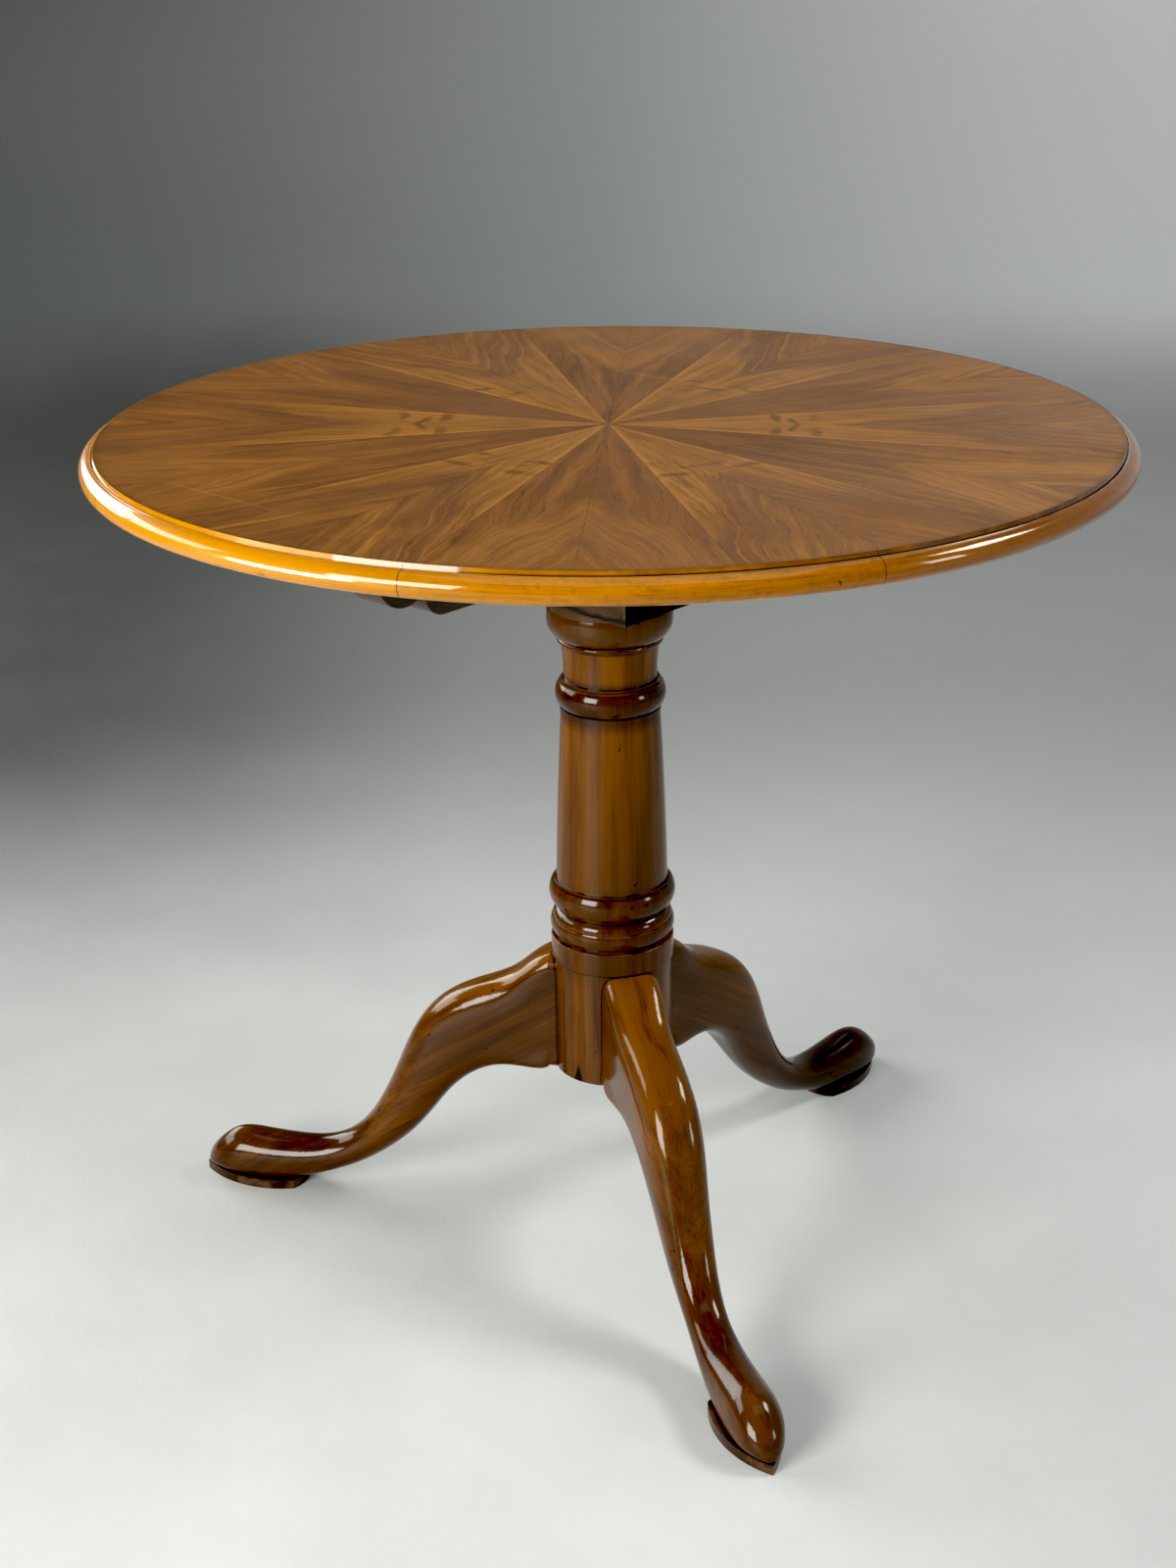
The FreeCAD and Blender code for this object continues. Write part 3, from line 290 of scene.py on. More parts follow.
def veneer(name, leaves, knots=()):
    """Pairs of mirrored leaves with their grain towards the middle. A darker or lighter
    arch opens outward from the joint in the middle of each pair."""
    f = Finish(name)
    radius, pair, off = f.sector(PAIR_START, PAIR_SPAN)
    spread = f.maths("ABSOLUTE", off)
    along = f.times(radius, f.maths("COSINE", off))
    across = f.times(radius, f.maths("SINE", spread))
    hem = f.times(radius, f.maths("SINE", f.less(math.radians(PAIR_SPAN / 2), spread)))

    # Each pair has a figure of its own, and each leaf a fine grain of its own.
    pair_draw = f.times(pair, 3.7)
    leaf_draw = f.add(pair_draw, f.times(f.step(off, -0.0001, 0.0001), 0.35))

    # The arch is a value above nothing inside its outline and below nothing on the flanks.
    in_pair = f.vector(along, across, pair_draw)
    drift = f.noise(f.moved(in_pair, (8, 19, 1)), detail=4)
    swirl = f.noise(f.moved(in_pair, (15, 34, 1), shift=(0, 0, 9)), detail=3)
    apex = f.add(leaves["apex"], f.sway(f.chance(f.add(pair, 0.5)), 0.05))
    wander = f.add(f.sway(drift, 0.075), f.sway(swirl, 0.025))
    arch = f.less(f.add(f.times(f.less(along, apex), 0.56), wander), across)

    # The grain: it leans off the joint, and more so inside the arch.
    lean = f.step(arch, -0.020, 0.06, 0.10, 0.36)
    sine, cosine = f.maths("SINE", lean), f.maths("COSINE", lean)
    down = f.add(f.times(along, cosine), f.times(across, sine))
    over = f.less(f.times(across, cosine), f.times(along, sine))
    over = f.add(over, f.sway(drift, 0.030))
    pair_grain = f.vector(down, over, pair_draw)
    leaf_grain = f.vector(down, over, leaf_draw)
    bands = f.noise(f.moved(pair_grain, (3.5, 85, 1)), detail=5, rough=0.62)
    streak = f.noise(f.moved(pair_grain, (9, 330, 1)), detail=4, rough=0.6)
    fibre = f.noise(f.moved(leaf_grain, (34, 1000, 1)), detail=3)
    pores = f.noise(f.moved(leaf_grain, (120, 2000, 1)), detail=1)
    mottle = f.noise(f.moved(f.vector(along, across, leaf_draw), (24, 30, 1)), detail=4)
    flame = f.maths("SINE", f.add(f.times(over, 330), f.times(swirl, 8)))
    flame = f.times(f.step(arch, 0.0, 0.03), f.times(flame, 0.05))

    flank = f.tones(f.add(radius, f.sway(drift, 0.10)), *leaves["flank"])
    heart = f.tones(f.times(arch, 9.0), *leaves["heart"])
    colour = f.blend(f.step(arch, -0.010, 0.010), flank, heart)
    clouded = f.add(f.times(mottle, 0.55), f.times(drift, 0.45))
    colour = f.dimmed(colour, f.step(clouded, 0.62, 0.36), 0.28)
    pale_bands = f.step(f.add(bands, flame), 0.46, 0.76, 0.0, 0.56)
    colour = f.blend(pale_bands, colour, leaves["pale"])
    deep_bands = f.step(f.less(bands, flame), 0.52, 0.26, 0.0, 0.64)
    colour = f.blend(deep_bands, colour, leaves["deep"])
    for figure, low, high, amount in (
        (streak, 0.46, 0.72, 0.34),
        (fibre, 0.48, 0.70, 0.34),
        (pores, 0.60, 0.76, 0.34),
        (mottle, 0.42, 0.72, 0.04),
    ):
        colour = f.dimmed(colour, f.step(figure, low, high), amount)

    # The light leaves' bright hems and small dark knots.
    if knots:
        bright = f.times(f.step(hem, 0.0065, 0.001), f.step(radius, 0.33, 0.24))
        colour = f.blend(f.times(bright, 0.22), colour, (0.610, 0.263, 0.048))
    for place, reach, length, width in knots:
        beside = f.less(across, reach)
        bend = f.add(f.sway(swirl, 0.030), f.times(beside, 0.16))
        lift = f.maths("DIVIDE", f.less(f.add(along, bend), place), width)
        run = f.maths("DIVIDE", beside, length)
        knot = f.step(f.add(f.times(lift, lift), f.times(run, run)), 2.0, 0.0)
        colour = f.dimmed(colour, f.times(knot, f.step(mottle, 0.34, 0.60)), 0.52)

    # Each leaf's own tone, the joints, and the dirt along the rim.
    leaf = f.maths("FLOOR", f.add(f.times(pair, 2), f.step(off, -0.00001, 0.00001)))
    tone = f.chance(f.add(leaf, leaves["tone_draw"]))
    colour = f.blend(f.step(tone, 0.2, 1.0, 0.0, 0.26), colour, (0.183, 0.072, 0.024))
    seam = f.step(f.maths("MINIMUM", across, hem), 0.0006, 0.0001)
    colour = f.dimmed(colour, seam, 0.32)
    rim_dirt = f.step(radius, LEAVES_RADIUS - 0.006, LEAVES_RADIUS)
    colour = f.dimmed(colour, f.times(rim_dirt, f.noise(f.place, 60)), 0.5)

    # Wear: small pale nicks and long fine scratches.
    nicks = f.times(f.specks(f.place, 17, 0.021), f.step(f.noise(f.place, 9), 0.50, 0.60))
    colour = f.blend(f.times(nicks, 0.6), colour, (0.72, 0.60, 0.45))
    hair = f.noise(f.moved(f.place, (3, 160, 1), (0, 0, 37)), detail=0, twist=0.6)
    scrape = f.noise(f.moved(f.place, (140, 3, 1), (0, 0, 12)), detail=0, twist=0.6)
    scuff = f.larger(f.step(hair, 0.820, 0.88), f.step(scrape, 0.830, 0.89))
    colour = f.blend(f.times(scuff, 0.22), colour, (0.549, 0.336, 0.162))

    haze = f.noise(f.moved(f.place, (5, 9, 1), (0, 0, 30)), detail=5, rough=0.6)
    rough = f.add(f.step(haze, 0.3, 0.75, 0.27, 0.40), f.times(scuff, 0.2))
    height = f.less(f.times(fibre, 0.5), f.times(seam, 2.0))
    height = f.less(height, f.times(f.step(pores, 0.6, 0.78), 0.8))
    f.relief(height, 0.00009)
    return f.close(colour, rough, coat=0.10, coat_rough=0.20, gloss=0.18)


def edge_finish():
    """Amber moulding: the grain runs round the top, one side is browner, partly with painted
    shade, and the other golden with painted light, painted shade and dirt lie in the groove, and
    the lower edge is worn and chipped."""
    f = Finish("amber_edge")
    x, y, z = f.split(f.place)
    side = f.along_way(x, y, SIDE_WAY)
    radius, length_number, off = f.sector(EDGE_START, EDGE_SPAN)
    round_way = f.times(f.add(off, f.times(length_number, 5.3)), TOP_RADIUS)
    own = f.vector(round_way, radius, z)
    grain = f.noise(f.moved(own, (9, 260, 260)), detail=4, rough=0.6)
    fine = f.noise(f.moved(own, (40, 1400, 1400)), detail=2)
    cloud = f.noise(f.moved(own, (7, 30, 50)), detail=4)
    colour = f.tones(
        f.add(f.times(grain, 0.55), f.times(cloud, 0.45)),
        (0.25, (0.15, 0.040, 0.0008)),
        (0.42, (0.285, 0.094, 0.0010)),
        (0.56, (0.41, 0.150, 0.0014)),
        (0.75, (0.52, 0.215, 0.004)),
    )
    colour = f.dimmed(colour, f.step(fine, 0.50, 0.72), 0.26)
    grime = f.noise(f.place, 150, detail=4, rough=0.65)
    colour = f.dimmed(colour, f.step(grime, 0.48, 0.70), 0.30)

    # Browner on one side, partly as the wood's own tone and partly as painted shade, and a
    # little browner on some of the lengths; golden with painted light on the other side.
    brown_and_shade = f.step(side, 0.02, 0.34, 0.0, 0.62)
    tone = f.times(f.chance(f.add(length_number, 9.4)), 0.16)
    brown_and_shade = f.maths("ADD", brown_and_shade, tone, clamp=True)
    colour = f.blend(brown_and_shade, colour, (0.15, 0.044, 0.003))
    colour = f.blend(f.step(side, 0.06, -0.28, 0.0, 0.58), colour, (0.74, 0.31, 0.0030))

    # Dark lines: painted shade and dirt in the groove behind the nose and a dark joint round the
    # leaves, weaker on the golden side and a little at the far brown side; and the strip
    # between, darkened more towards the browner side.
    inward = f.step(radius, STEP_RADIUS + 0.00030, STEP_RADIUS + 0.00005)
    groove = f.times(inward, f.step(z, NOSE_TOP_Z + 0.0012, NOSE_TOP_Z + 0.0005))
    hem = f.step(radius, LEAVES_RADIUS + 0.0007, LEAVES_RADIUS + 0.0001)
    groove_shade_and_joint = f.larger(groove, f.times(hem, 0.8))
    groove_shade_and_joint = f.times(groove_shade_and_joint, f.step(side, -0.28, 0.05, 0.22, 1.0))
    groove_shade_and_joint = f.times(groove_shade_and_joint, f.step(side, 0.38, 0.20, 0.70, 1.0))
    colour = f.dimmed(colour, groove_shade_and_joint, 0.88)
    strip = f.times(inward, f.step(side, -0.15, 0.30, 0.25, 1.0))
    strip = f.times(strip, f.step(f.noise(f.place, 45, detail=4), 0.3, 0.6))
    colour = f.dimmed(colour, strip, 0.55)

    # Wear: the lower lip, chips near it and bruises all over; and along the top of the nose a
    # pale line that is partly rubbing and partly painted highlight.
    lip = f.add(z, f.sway(f.noise(f.place, 95, detail=4, rough=0.65), 0.004))
    worn = f.step(lip, UNDERSIDE_Z + 0.0026, UNDERSIDE_Z + 0.0010)
    worn = f.times(worn, f.step(radius, STEP_RADIUS, STEP_RADIUS + 0.0035))
    worn = f.times(worn, f.step(f.noise(f.place, 14), 0.42, 0.60))
    colour = f.blend(f.times(worn, 0.62), colour, (0.52, 0.33, 0.16))
    chip = f.step(f.noise(f.place, 90, detail=2), 0.67, 0.71)
    chip = f.times(chip, f.step(z, UNDERSIDE_Z + 0.0061, UNDERSIDE_Z + 0.0016))
    colour = f.dimmed(colour, chip, 0.72)
    bruise = f.step(f.noise(f.place, 105, detail=1), 0.77, 0.80)
    colour = f.dimmed(colour, bruise, 0.75)
    # Partly rubbing and partly painted highlight: a pale line along the top of the nose.
    crown = f.near(radius, STEP_RADIUS + 0.00085, 0.0007)
    crown = f.times(crown, f.step(z, NOSE_TOP_Z - 0.0012, NOSE_TOP_Z - 0.0004))
    rubbed_and_highlight = f.times(crown, f.step(f.noise(f.place, 30, detail=4), 0.36, 0.60, 0.25, 1.0))
    colour = f.blend(f.times(rubbed_and_highlight, 0.62), colour, (0.80, 0.58, 0.38))

    to_joint = f.less(math.radians(EDGE_SPAN / 2), f.maths("ABSOLUTE", off))
    seam = f.step(f.times(to_joint, TOP_RADIUS), 0.0006, 0.00012)
    colour = f.dimmed(colour, seam, 0.75)

    rough = f.add(f.step(cloud, 0.3, 0.7, 0.22, 0.30), f.times(f.larger(worn, chip), 0.3))
    hollows = f.larger(chip, f.larger(seam, bruise))
    f.relief(f.less(f.times(fine, 0.12), f.times(hollows, 1.6)), 0.00022)
    return f.close(colour, rough, coat=0.80, coat_rough=0.06, gloss=0.08)


def leg_shades(f, colour, streak, cloud, painted_shade):
    """A leg is golden with painted light on its upward faces near the column, darker with
    painted shade on its other faces there, darker towards its foot and more so with the painted
    shade of a leg in shadow, and dark on its pad and in the seam where it meets the drum."""
    x, y, z = f.split(f.place)
    away = f.length(x, y)
    upward = f.step(f.split(f.facing)[2], 0.0, 0.8, 0.10, 1.0)
    # Painted light: upward faces near the column are golden.
    gold = f.step(f.add(away, f.times(cloud, 0.10)), 0.29, 0.13)
    gold = f.times(f.times(gold, f.step(streak, 0.20, 0.52)), upward)
    colour = f.blend(f.times(gold, 0.80 - painted_shade), colour, (0.210, 0.077, 0.0052))
    # Painted shade: the other faces near the column are darker.
    flank = f.times(f.step(away, 0.22, 0.08), f.less(1.0, upward))
    colour = f.dimmed(colour, flank, 0.36)
    # Darker towards the foot, and more so with the painted shade of a leg in shadow.
    towards_foot = f.step(f.add(away, f.times(cloud, 0.06)), 0.19, 0.33)
    colour = f.dimmed(colour, towards_foot, 0.38 + painted_shade)
    colour = f.dimmed(colour, f.step(z, PAD_TOP_Z + 0.001, PAD_TOP_Z - 0.001), 0.45)
    return f.dimmed(colour, f.step(away, DRUM_RADIUS + 0.0008, DRUM_RADIUS - 0.0008), 0.85)


def column_shades(f, colour, own, streak):
    """The column is golden on its shaft and neck, dark on the rings below them and a little
    paler on its capital, with a few long dark veins."""
    z = f.split(f.place)[2]
    gold = f.tones(streak, (0.32, (0.102, 0.031, 0.0018)), (0.62, (0.210, 0.071, 0.0040)))
    shaft_foot, shaft_head = SHAFT_Z
    gold = f.dimmed(gold, f.step(z, shaft_head - 0.007, shaft_foot + 0.005), 0.42)
    golden = f.larger(f.between(z, SHAFT_Z, 0.007), f.between(z, NECK_Z, 0.003))
    colour = f.dimmed(colour, f.step(z, 0.240, 0.262, 0.38, 1.0), 0.34)
    colour = f.blend(f.times(golden, 0.66), colour, gold)
    capital = f.step(z, CAPITAL_Z, CAPITAL_Z + 0.007, 0.0, 0.32)
    colour = f.blend(capital, colour, (0.112, 0.048, 0.0120))
    veins = f.noise(f.moved(own, (95, 95, 1.1)), detail=1)
    return f.dimmed(colour, f.step(veins, 0.66, 0.72), 0.45)


def column_lines(f, colour):
    """Painted shade and dirt in the column's grooves, and light lines on its rings that are
    partly painted highlight and partly rubbing.
    """
    z = f.split(f.place)[2]
    for level in SHADED_DIRTY_GROOVES_Z:
        colour = f.dimmed(colour, f.near(z, level, 0.0016), 0.70)
    broken = f.step(f.noise(f.place, 60), 0.35, 0.60)
    for level in LIT_RUBBED_RINGS_Z:
        line = f.times(f.near(z, level, 0.0009), broken)
        colour = f.blend(f.times(line, 0.34), colour, (0.36, 0.17, 0.05))
    return colour


def drum_split(f):
    """One in the short ragged split that opens towards the drum's lower end."""
    x, y, z = f.split(f.moved(f.place, turn=(0, 0, -SPLIT_BEARING)))
    rise = f.less(SPLIT_HEIGHT, f.less(z, DRUM_BOTTOM_Z))
    gape = f.times(rise, 0.30)
    ragged = f.add(f.maths("ABSOLUTE", y), f.sway(f.noise(f.place, 260), 0.0016))
    split = f.step(ragged, f.add(gape, 0.0004), f.less(gape, 0.0006))
    return f.times(f.times(split, f.step(rise, 0.0, 0.0005)), f.step(x, 0.03, 0.04))


def polished_walnut(name, turn=0, lean=0, painted_shade=0.0):
    """Red-brown polished wood: the column's, with its grain upright, or that of a leg which
    is turned about the column and whose grain follows its lean."""
    f = Finish(name)
    own = f.moved(f.place, turn=(0, 0, -turn))
    if lean:
        own = f.moved(own, turn=(0, lean, 0))
    x, y, _ = f.split(own)
    drift = f.noise(f.moved(own, (7, 7, 2.4)), detail=3)
    bow = f.noise(f.moved(own, (3.0, 3.0, 1.1), shift=(4.2, 1.3, 0.7)), detail=2)
    ring = f.length(f.add(x, 0.034), f.add(y, f.sway(bow, 0.05)))
    rings = f.maths("SINE", f.add(f.times(ring, 300), f.times(drift, 15)))
    streak = f.noise(f.moved(own, (120, 120, 5)), detail=5, rough=0.62)
    fibre = f.noise(f.moved(own, (560, 560, 22)), detail=3)
    pores = f.step(f.noise(f.moved(own, (1200, 1200, 90)), detail=1), 0.62, 0.80)
    cloud = f.noise(f.moved(own, (16, 16, 6), shift=(2, 5, 1)), detail=4)
    figure = f.add(f.times(streak, 0.46), f.times(rings, 0.012))
    colour = f.tones(
        f.add(figure, f.times(cloud, 0.54)),
        (0.30, (0.028, 0.0082, 0.0014)),
        (0.43, (0.066, 0.0202, 0.0026)),
        (0.55, (0.112, 0.0378, 0.0042)),
        (0.68, (0.190, 0.070, 0.0068)),
    )
    # Painted shade darkens all of a leg that stands in shadow.
    if painted_shade:
        colour = f.dimmed(colour, 1.0, painted_shade)
    colour = f.dimmed(colour, f.step(fibre, 0.48, 0.72), 0.42)
    colour = f.dimmed(colour, pores, 0.40)
    if lean:
        colour = leg_shades(f, colour, streak, cloud, painted_shade)
    else:
        colour = column_shades(f, colour, own, streak)

    # Painted shade and dirt darken the corners and creases.
    dirt_and_painted_shade = f.step(f.dirt_and_painted_shade(0.007), 0.28, 0.78)
    colour = f.dimmed(colour, dirt_and_painted_shade, 0.82)
    pits = f.step(f.noise(f.place, 95, detail=2), 0.715, 0.75)
    colour = f.dimmed(colour, pits, 0.75)
    scuffs = f.step(f.noise(f.place, 70, detail=4), 0.50, 0.64)
    scuffs = f.times(f.step(f.split(f.place)[2], 0.014, 0.004), scuffs)
    scuffs = f.times(scuffs, f.less(1.0, dirt_and_painted_shade))
    colour = f.blend(f.times(scuffs, 0.26), colour, (0.24, 0.14, 0.075))
    waves = f.noise(f.moved(own, (60, 60, 20)), detail=3)
    height = f.less(f.times(waves, 0.8), f.times(pits, 2.2))
    height = f.less(height, f.times(pores, 0.15))
    if not lean:
        colour = column_lines(f, colour)
        split = drum_split(f)
        colour = f.dimmed(colour, split, 0.96)
        height = f.less(height, f.times(split, 6.0))
    f.relief(height, 0.00018)
    rough = f.add(f.step(cloud, 0.3, 0.7, 0.22, 0.34), f.times(f.larger(dirt_and_painted_shade, scuffs), 0.3))
    return f.close(colour, rough, coat=0.56, coat_rough=0.10, gloss=0.05)


def stained_wood(name, along, polish=0.0):
    """Dark brown stain on plain wood, a little patchy, dull or with some polish. The grain
    runs along the named axis."""
    f = Finish(name)
    stretch = {"x": (12, 220, 220), "y": (220, 12, 220), "z": (220, 220, 12)}[along]
    streak = f.noise(f.moved(f.place, stretch), detail=5, rough=0.65)
    patch = f.noise(f.moved(f.place, (18, 18, 30)), detail=4)
    fine = f.noise(f.moved(f.place, [number * 5 for number in stretch]), detail=2)
    colour = f.tones(
        f.add(f.times(streak, 0.55), f.times(patch, 0.45)),
        (0.28, (0.010, 0.005, 0.0028)),
        (0.46, (0.032, 0.0165, 0.0090)),
        (0.62, (0.066, 0.036, 0.0200)),
        (0.80, (0.110, 0.064, 0.038)),
    )
    colour = f.dimmed(colour, f.step(fine, 0.52, 0.74), 0.35)
    # Painted shade and dirt darken its corners.
    colour = f.dimmed(colour, f.step(f.dirt_and_painted_shade(0.012), 0.25, 0.80), 0.70)
    f.relief(f.add(f.times(streak, 0.7), f.times(fine, 0.4)), 0.00025)
    rough = f.step(patch, 0.3, 0.7, 0.42 - polish, 0.60 - polish)
    return f.close(colour, rough, coat=polish * 1.5, coat_rough=0.15, gloss=0.35)


def cage_plate_finish():
    """The cage's dull plates. On the lower one, painted shade makes one face nearly black, a
    painted highlight makes a light line on its corner, and a ragged band of painted shadow runs
    along the lower edge of the next face."""
    f = Finish("cage_plates")
    streak = f.noise(f.moved(f.place, (14, 14, 240)), detail=5, rough=0.6)
    patch = f.noise(f.moved(f.place, (25, 25, 60)), detail=4)
    colour = f.tones(
        f.add(f.times(streak, 0.6), f.times(patch, 0.4)),
        (0.28, (0.016, 0.0085, 0.0045)),
        (0.48, (0.046, 0.025, 0.0135)),
        (0.62, (0.078, 0.044, 0.025)),
        (0.80, (0.12, 0.072, 0.043)),
    )
    x, y, z = f.split(f.place)
    # Painted shade: the face that looks away from the light is nearly black.
    colour = f.dimmed(colour, f.step(x, PLATE_FACE_X - 0.0010, PLATE_FACE_X - 0.0003), 0.86)
    # Painted highlight: a light line along the top of the corner.
    corner_highlight = f.times(
        f.step(x, PLATE_FACE_X - 0.0012, PLATE_FACE_X - 0.0005),
        f.step(y, PLATE_CORNER_Y + 0.0012, PLATE_CORNER_Y + 0.0004),
    )
    corner_highlight = f.times(corner_highlight, f.step(z, PLATE_TOP_Z + 0.0017, PLATE_TOP_Z - 0.0003))
    colour = f.blend(f.times(corner_highlight, 0.6), colour, (0.20, 0.14, 0.095))
    # Painted shadow: a ragged dark band along the lower edge of the next face.
    ragged = f.sway(f.noise(f.moved(f.place, (90, 90, 30)), detail=4), 0.010)
    painted_shadow = f.near(f.add(z, ragged), PLATE_BOTTOM_Z + 0.0035, 0.0042)
    painted_shadow = f.times(painted_shadow, f.step(z, PLATE_BOTTOM_Z + 0.0003, PLATE_BOTTOM_Z + 0.0013))
    painted_shadow = f.times(painted_shadow, f.step(y, PLATE_CORNER_Y + 0.0045, PLATE_CORNER_Y + 0.0025))
    colour = f.dimmed(colour, painted_shadow, 0.90)
    # Painted shade and dirt darken its corners.
    colour = f.dimmed(colour, f.step(f.dirt_and_painted_shade(0.02), 0.3, 0.85), 0.6)
    f.relief(f.add(streak, f.times(painted_shadow, -0.8)), 0.0003)
    return f.close(colour, f.step(patch, 0.3, 0.7, 0.50, 0.66), gloss=0.3)


def core_finish():
    """Bare boards under the top, browned by age, with saw marks across the grain."""
    f = Finish("core_boards")
    x, y, _ = f.split(f.place)
    boards = f.maths("DIVIDE", f.add(y, LEAVES_RADIUS), BOARD_WIDTH)
    board = f.maths("FLOOR", boards)
    own = f.vector(x, f.add(y, f.times(board, 3.1)), f.times(board, 7.7))
    drift = f.noise(f.moved(own, (4, 14, 1)), detail=4)
    rings = f.maths("SINE", f.add(f.times(y, 420), f.times(drift, 26)))
    streak = f.noise(f.moved(own, (9, 260, 1)), detail=5, rough=0.6)
    saw = f.noise(f.moved(own, (420, 5, 1)), detail=2)
    patch = f.noise(f.moved(own, (6, 8, 1), shift=(3, 2, 0)), detail=5, rough=0.65)
    figure = f.add(f.times(streak, 0.5), f.times(rings, 0.05))
    colour = f.tones(
        f.add(figure, f.times(patch, 0.45)),
        (0.28, (0.070, 0.032, 0.014)),
        (0.45, (0.150, 0.076, 0.034)),
        (0.60, (0.235, 0.128, 0.060)),
        (0.80, (0.31, 0.18, 0.09)),
    )
    colour = f.dimmed(colour, f.chance(f.add(board, 3.3)), 0.32)
    colour = f.dimmed(colour, f.step(saw, 0.5, 0.8), 0.20)
    off_middle = f.maths("ABSOLUTE", f.less(f.maths("FRACT", boards), 0.5))
    seam = f.step(off_middle, 0.4968, 0.4992)
    colour = f.dimmed(colour, seam, 0.8)
    # Painted shade and dirt darken its corners.
    colour = f.dimmed(colour, f.step(f.dirt_and_painted_shade(0.03), 0.2, 0.8), 0.55)
    grain = f.add(f.times(streak, 0.5), f.times(saw, 0.5))
    f.relief(f.less(grain, f.times(seam, 3.0)), 0.0003)
    return f.close(colour, f.step(patch, 0.3, 0.7, 0.58, 0.76), gloss=0.25)


def metal(name, pale, dull, dark, rough, scale=1.0):
    """Old metal with tarnish in patches, fine rubbing marks, and painted shade and dirt in its
    corners.
    """
    f = Finish(name)
    patch = f.noise(f.place, 130 * scale, detail=5, rough=0.65)
    rub = f.noise(f.moved(f.place, (900, 120, 900)), detail=3)
    colour = f.tones(patch, (0.32, dark), (0.52, dull), (0.72, pale))
    colour = f.dimmed(colour, f.step(rub, 0.5, 0.8), 0.25)
    colour = f.dimmed(colour, f.step(f.dirt_and_painted_shade(0.003), 0.25, 0.8), 0.75)
    f.relief(f.add(f.times(patch, 0.6), f.times(rub, 0.4)), 0.00008)
    return f.close(colour, f.step(patch, 0.3, 0.7, rough + 0.18, rough), metal=0.92)


def dress(finish, *pieces):
    """Gives the finish to each of the named pieces."""
    for name in pieces:
        nodes[name].data.materials.clear()
        nodes[name].data.materials.append(finish)


brass = metal(
    "old_brass", (0.52, 0.36, 0.13), (0.30, 0.19, 0.07), (0.13, 0.080, 0.034), 0.30, scale=0.4,
)
steel = metal("screw_steel", (0.32, 0.30, 0.28), (0.17, 0.155, 0.14), (0.06, 0.045, 0.035), 0.38)
edge_lengths = [f"edge_moulding_{number}" for number in range(1, 9)]
balusters = [f"cage_baluster_{number}" for number in range(1, 5)]
dress(veneer("light_leaves", LIGHT_LEAVES, KNOTS), "veneer_light_leaves")
dress(veneer("dark_leaves", DARK_LEAVES), "veneer_dark_leaves")
dress(edge_finish(), *edge_lengths)
dress(core_finish(), "core_boards")
dress(polished_walnut("column_wood"), "column")
# The rear leg stands in shadow: painted shade darkens it.
dress(polished_walnut("rear_leg_shaded_wood", 90, LEG_LEAN, painted_shade=0.34), "leg_rear")
dress(polished_walnut("left_leg_wood", 210, LEG_LEAN), "leg_left")
dress(polished_walnut("right_leg_wood", 330, LEG_LEAN), "leg_right")
dress(cage_plate_finish(), "lower_cage_plate", "upper_cage_plate")
dress(stained_wood("cage_balusters", "z", 0.12), "collar_ring", *balusters)
dress(stained_wood("bearers", "y", 0.10), "bearer_right", "bearer_left")
dress(
    stained_wood("wedge_and_dowels", "x"),
    "cage_wedge", "hinge_dowel_right", "hinge_dowel_left",
)
dress(
    brass, "strike_plate", "strike_screws", "catch_case", "catch_bolt", "catch_knob",
    "catch_screws",
)
dress(steel, "bearer_screws_right", "bearer_screws_left")


# Room, light and camera


FLOOR_RADIUS = 3.0
COVE_RADIUS = 0.9
WALL_HEIGHT = 3.4
LIGHT_DISTANCE = 3.5
LIGHT_AIM = Vector((0, 0, 0.5))
DAYLIGHT = (0.97, 0.985, 1.0)
WHITE = (1, 1, 1)


def room_finish():
    """Pale floor paint, with painted shade that darkens it towards the back and to one side,
    which turns into a grey wall that painted light and shade make lighter on one side."""
    f = Finish("pale_floor_and_wall")
    x, y, z = f.split(f.place)
    side = f.along_way(x, y, SIDE_WAY)
    aside = f.maths("DIVIDE", side, f.larger(f.length(x, y), 0.01))
    wear = f.noise(f.place, 4, detail=5, rough=0.6)
    fine = f.noise(f.place, 40, detail=3, rough=0.6)
    # Painted light and shade: the wall runs from dark on one side to light on the other.
    wall = f.tones(
        f.step(aside, -0.42, 0.42),
        (0.0, (0.094, 0.099, 0.101)),
        (0.5, (0.258, 0.272, 0.268)),
        (1.0, (0.49, 0.505, 0.505)),
    )
    ground = f.tones(wear, (0.35, (0.62, 0.635, 0.612)), (0.70, (0.68, 0.695, 0.670)))
    # Painted shade darkens the near floor towards one side.
    ground = f.dimmed(ground, f.step(side, -0.1, 0.7), 0.20)
    # Painted shade: the far floor is a darker grey.
    shaded_far_floor = f.tones(
        f.step(side, -0.9, 0.5),
        (0.0, (0.060, 0.063, 0.060)),
        (0.5, (0.20, 0.207, 0.201)),
        (1.0, (0.27, 0.278, 0.270)),
    )
    # Painted shade darkens the floor towards the back, where it turns into the far floor.
    beyond = f.maths("MINIMUM", f.add(side, 0.2), 0.0)
    depth = f.less(f.along_way(x, y, BACK_WAY), f.times(beyond, 0.35))
    ground = f.blend(f.step(depth, -0.2, 1.5), ground, shaded_far_floor)
    height = f.add(z, f.sway(wear, 0.05))
    colour = f.blend(f.step(height, 0.0, 0.22), ground, wall)
    f.relief(fine, 0.0004)
    return f.close(colour, f.step(wear, 0.3, 0.7, 0.40, 0.52), gloss=0.35)


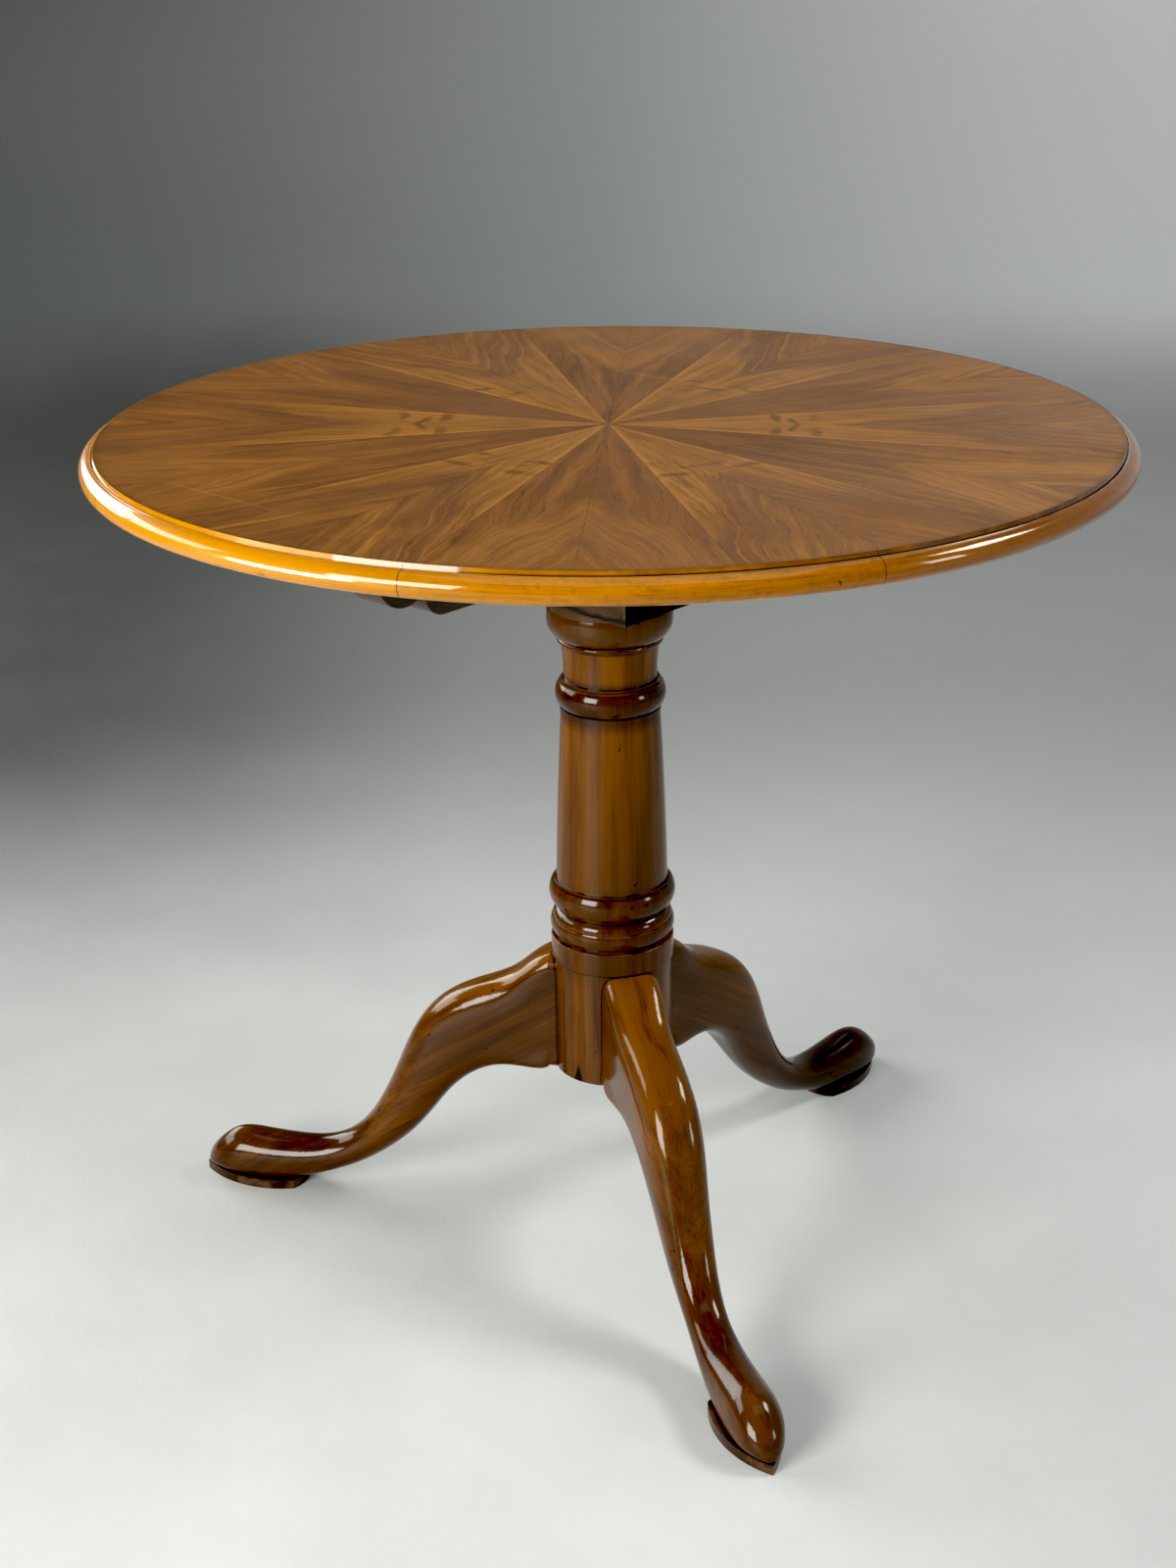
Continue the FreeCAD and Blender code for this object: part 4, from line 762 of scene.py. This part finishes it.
def make_room():
    """A round floor that curves up into the wall: its outline turned about the middle."""
    mesh = bpy.data.meshes.new("floor_and_wall")
    shape = bmesh.new()
    start = shape.verts.new((0, 0, 0))
    edge = shape.verts.new((FLOOR_RADIUS, 0, 0))
    shape.edges.new((start, edge))
    cove = bmesh.ops.spin(
        shape, geom=[edge], cent=(FLOOR_RADIUS, 0, COVE_RADIUS), axis=(0, -1, 0),
        angle=math.radians(90), steps=16, use_merge=False,
    )
    last = [item for item in cove["geom_last"] if isinstance(item, bmesh.types.BMVert)][0]
    head = shape.verts.new((last.co.x, 0, WALL_HEIGHT))
    shape.edges.new((last, head))
    bmesh.ops.spin(
        shape, geom=shape.verts[:] + shape.edges[:], cent=(0, 0, 0), axis=(0, 0, 1),
        angle=math.radians(360), steps=96, use_merge=True,
    )
    bmesh.ops.remove_doubles(shape, verts=shape.verts[:], dist=0.0001)
    bmesh.ops.recalc_face_normals(shape, faces=shape.faces[:])
    shape.normal_update()
    middle = min(shape.faces, key=lambda face: face.calc_center_median().length)
    if middle.normal.z < 0:
        bmesh.ops.reverse_faces(shape, faces=shape.faces[:])
    for face in shape.faces:
        face.smooth = True
    shape.to_mesh(mesh)
    shape.free()
    room = bpy.data.objects.new("floor_and_wall", mesh)
    bpy.context.scene.collection.objects.link(room)
    mesh.materials.append(room_finish())


def make_light(
    name, azimuth, elevation, width, height, power,
    colour=WHITE, distance=LIGHT_DISTANCE, sheen=None,
):
    """A soft window of light that faces the middle of the table. A sheen light only shows as
    a reflection in the pieces of the collection that it is given."""
    lamp = bpy.data.lights.new(name, "AREA")
    lamp.shape = "RECTANGLE"
    lamp.size, lamp.size_y = width, height
    lamp.energy = power
    lamp.color = colour
    item = bpy.data.objects.new(name, lamp)
    bpy.context.scene.collection.objects.link(item)
    item.visible_camera = False
    if sheen:
        item.visible_diffuse = False
        item.light_linking.receiver_collection = sheen
    a, e = math.radians(azimuth), math.radians(elevation)
    way = Vector((math.cos(a) * math.cos(e), math.sin(a) * math.cos(e), math.sin(e)))
    item.location = LIGHT_AIM + way * distance
    item.rotation_euler = way.to_track_quat("Z", "Y").to_euler()


def make_surroundings():
    """Even grey light from above the wall."""
    world = bpy.data.worlds.new("grey_room")
    bpy.context.scene.world = world
    world.use_nodes = True
    sky = world.node_tree.nodes["Background"]
    sky.inputs["Color"].default_value = (0.80, 0.86, 0.92, 1)
    sky.inputs["Strength"].default_value = 0.08


def make_camera(place, bearing, fall, roll, focal_length):
    """The photograph's view: from the front right, a little above the top. The bearing is
    turned from the y axis, and the camera looks down by the fall."""
    lens = bpy.data.cameras.new("camera")
    lens.sensor_fit = "AUTO"
    lens.sensor_width = 36.0
    lens.lens = focal_length
    lens.clip_end = 100
    item = bpy.data.objects.new("camera", lens)
    bpy.context.scene.collection.objects.link(item)
    look = Euler((math.radians(90 - fall), 0, math.radians(bearing))).to_matrix()
    look = look @ Matrix.Rotation(math.radians(roll), 3, "Z")
    item.matrix_world = Matrix.Translation(place) @ look.to_4x4()
    bpy.context.scene.camera = item


amber_edge = bpy.data.collections.new("amber_edge")
for name in edge_lengths:
    amber_edge.objects.link(nodes[name])
make_room()
make_surroundings()

# Each light's azimuth, elevation, width, height, power and colour.
make_light("window_left", -90, 15, 1.62, 1.48, 136, (1.0, 0.985, 0.96))
make_light("low_window_left", -112, -2, 1.80, 0.74, 620, (1.0, 0.84, 0.56), sheen=amber_edge)
make_light("low_window_right", 20, 15, 0.54, 0.80, 16, DAYLIGHT)
make_light("high_window_right", 50, 42, 1.20, 0.80, 58, DAYLIGHT)
make_light("far_window_left", 180, 18, 2.15, 1.48, 69)
make_light("side_window_left", 213, 20, 1.60, 1.08, 36)
make_light("skylight_back", 120, 55, 1.80, 1.80, 9, distance=3.0)
make_light("ceiling", -40, 80, 2.20, 2.20, 18, distance=2.6)
make_camera(
    place=(1.2263, -1.3477, 1.1478), bearing=42.91, fall=21.90, roll=-0.72, focal_length=54.06,
)

# Plain tones with a photograph's deep blacks.
view = bpy.context.scene.view_settings
view.view_transform = "Standard"
view.use_curve_mapping = True
view.curve_mapping.black_level = (0.023, 0.023, 0.025)
view.curve_mapping.update()
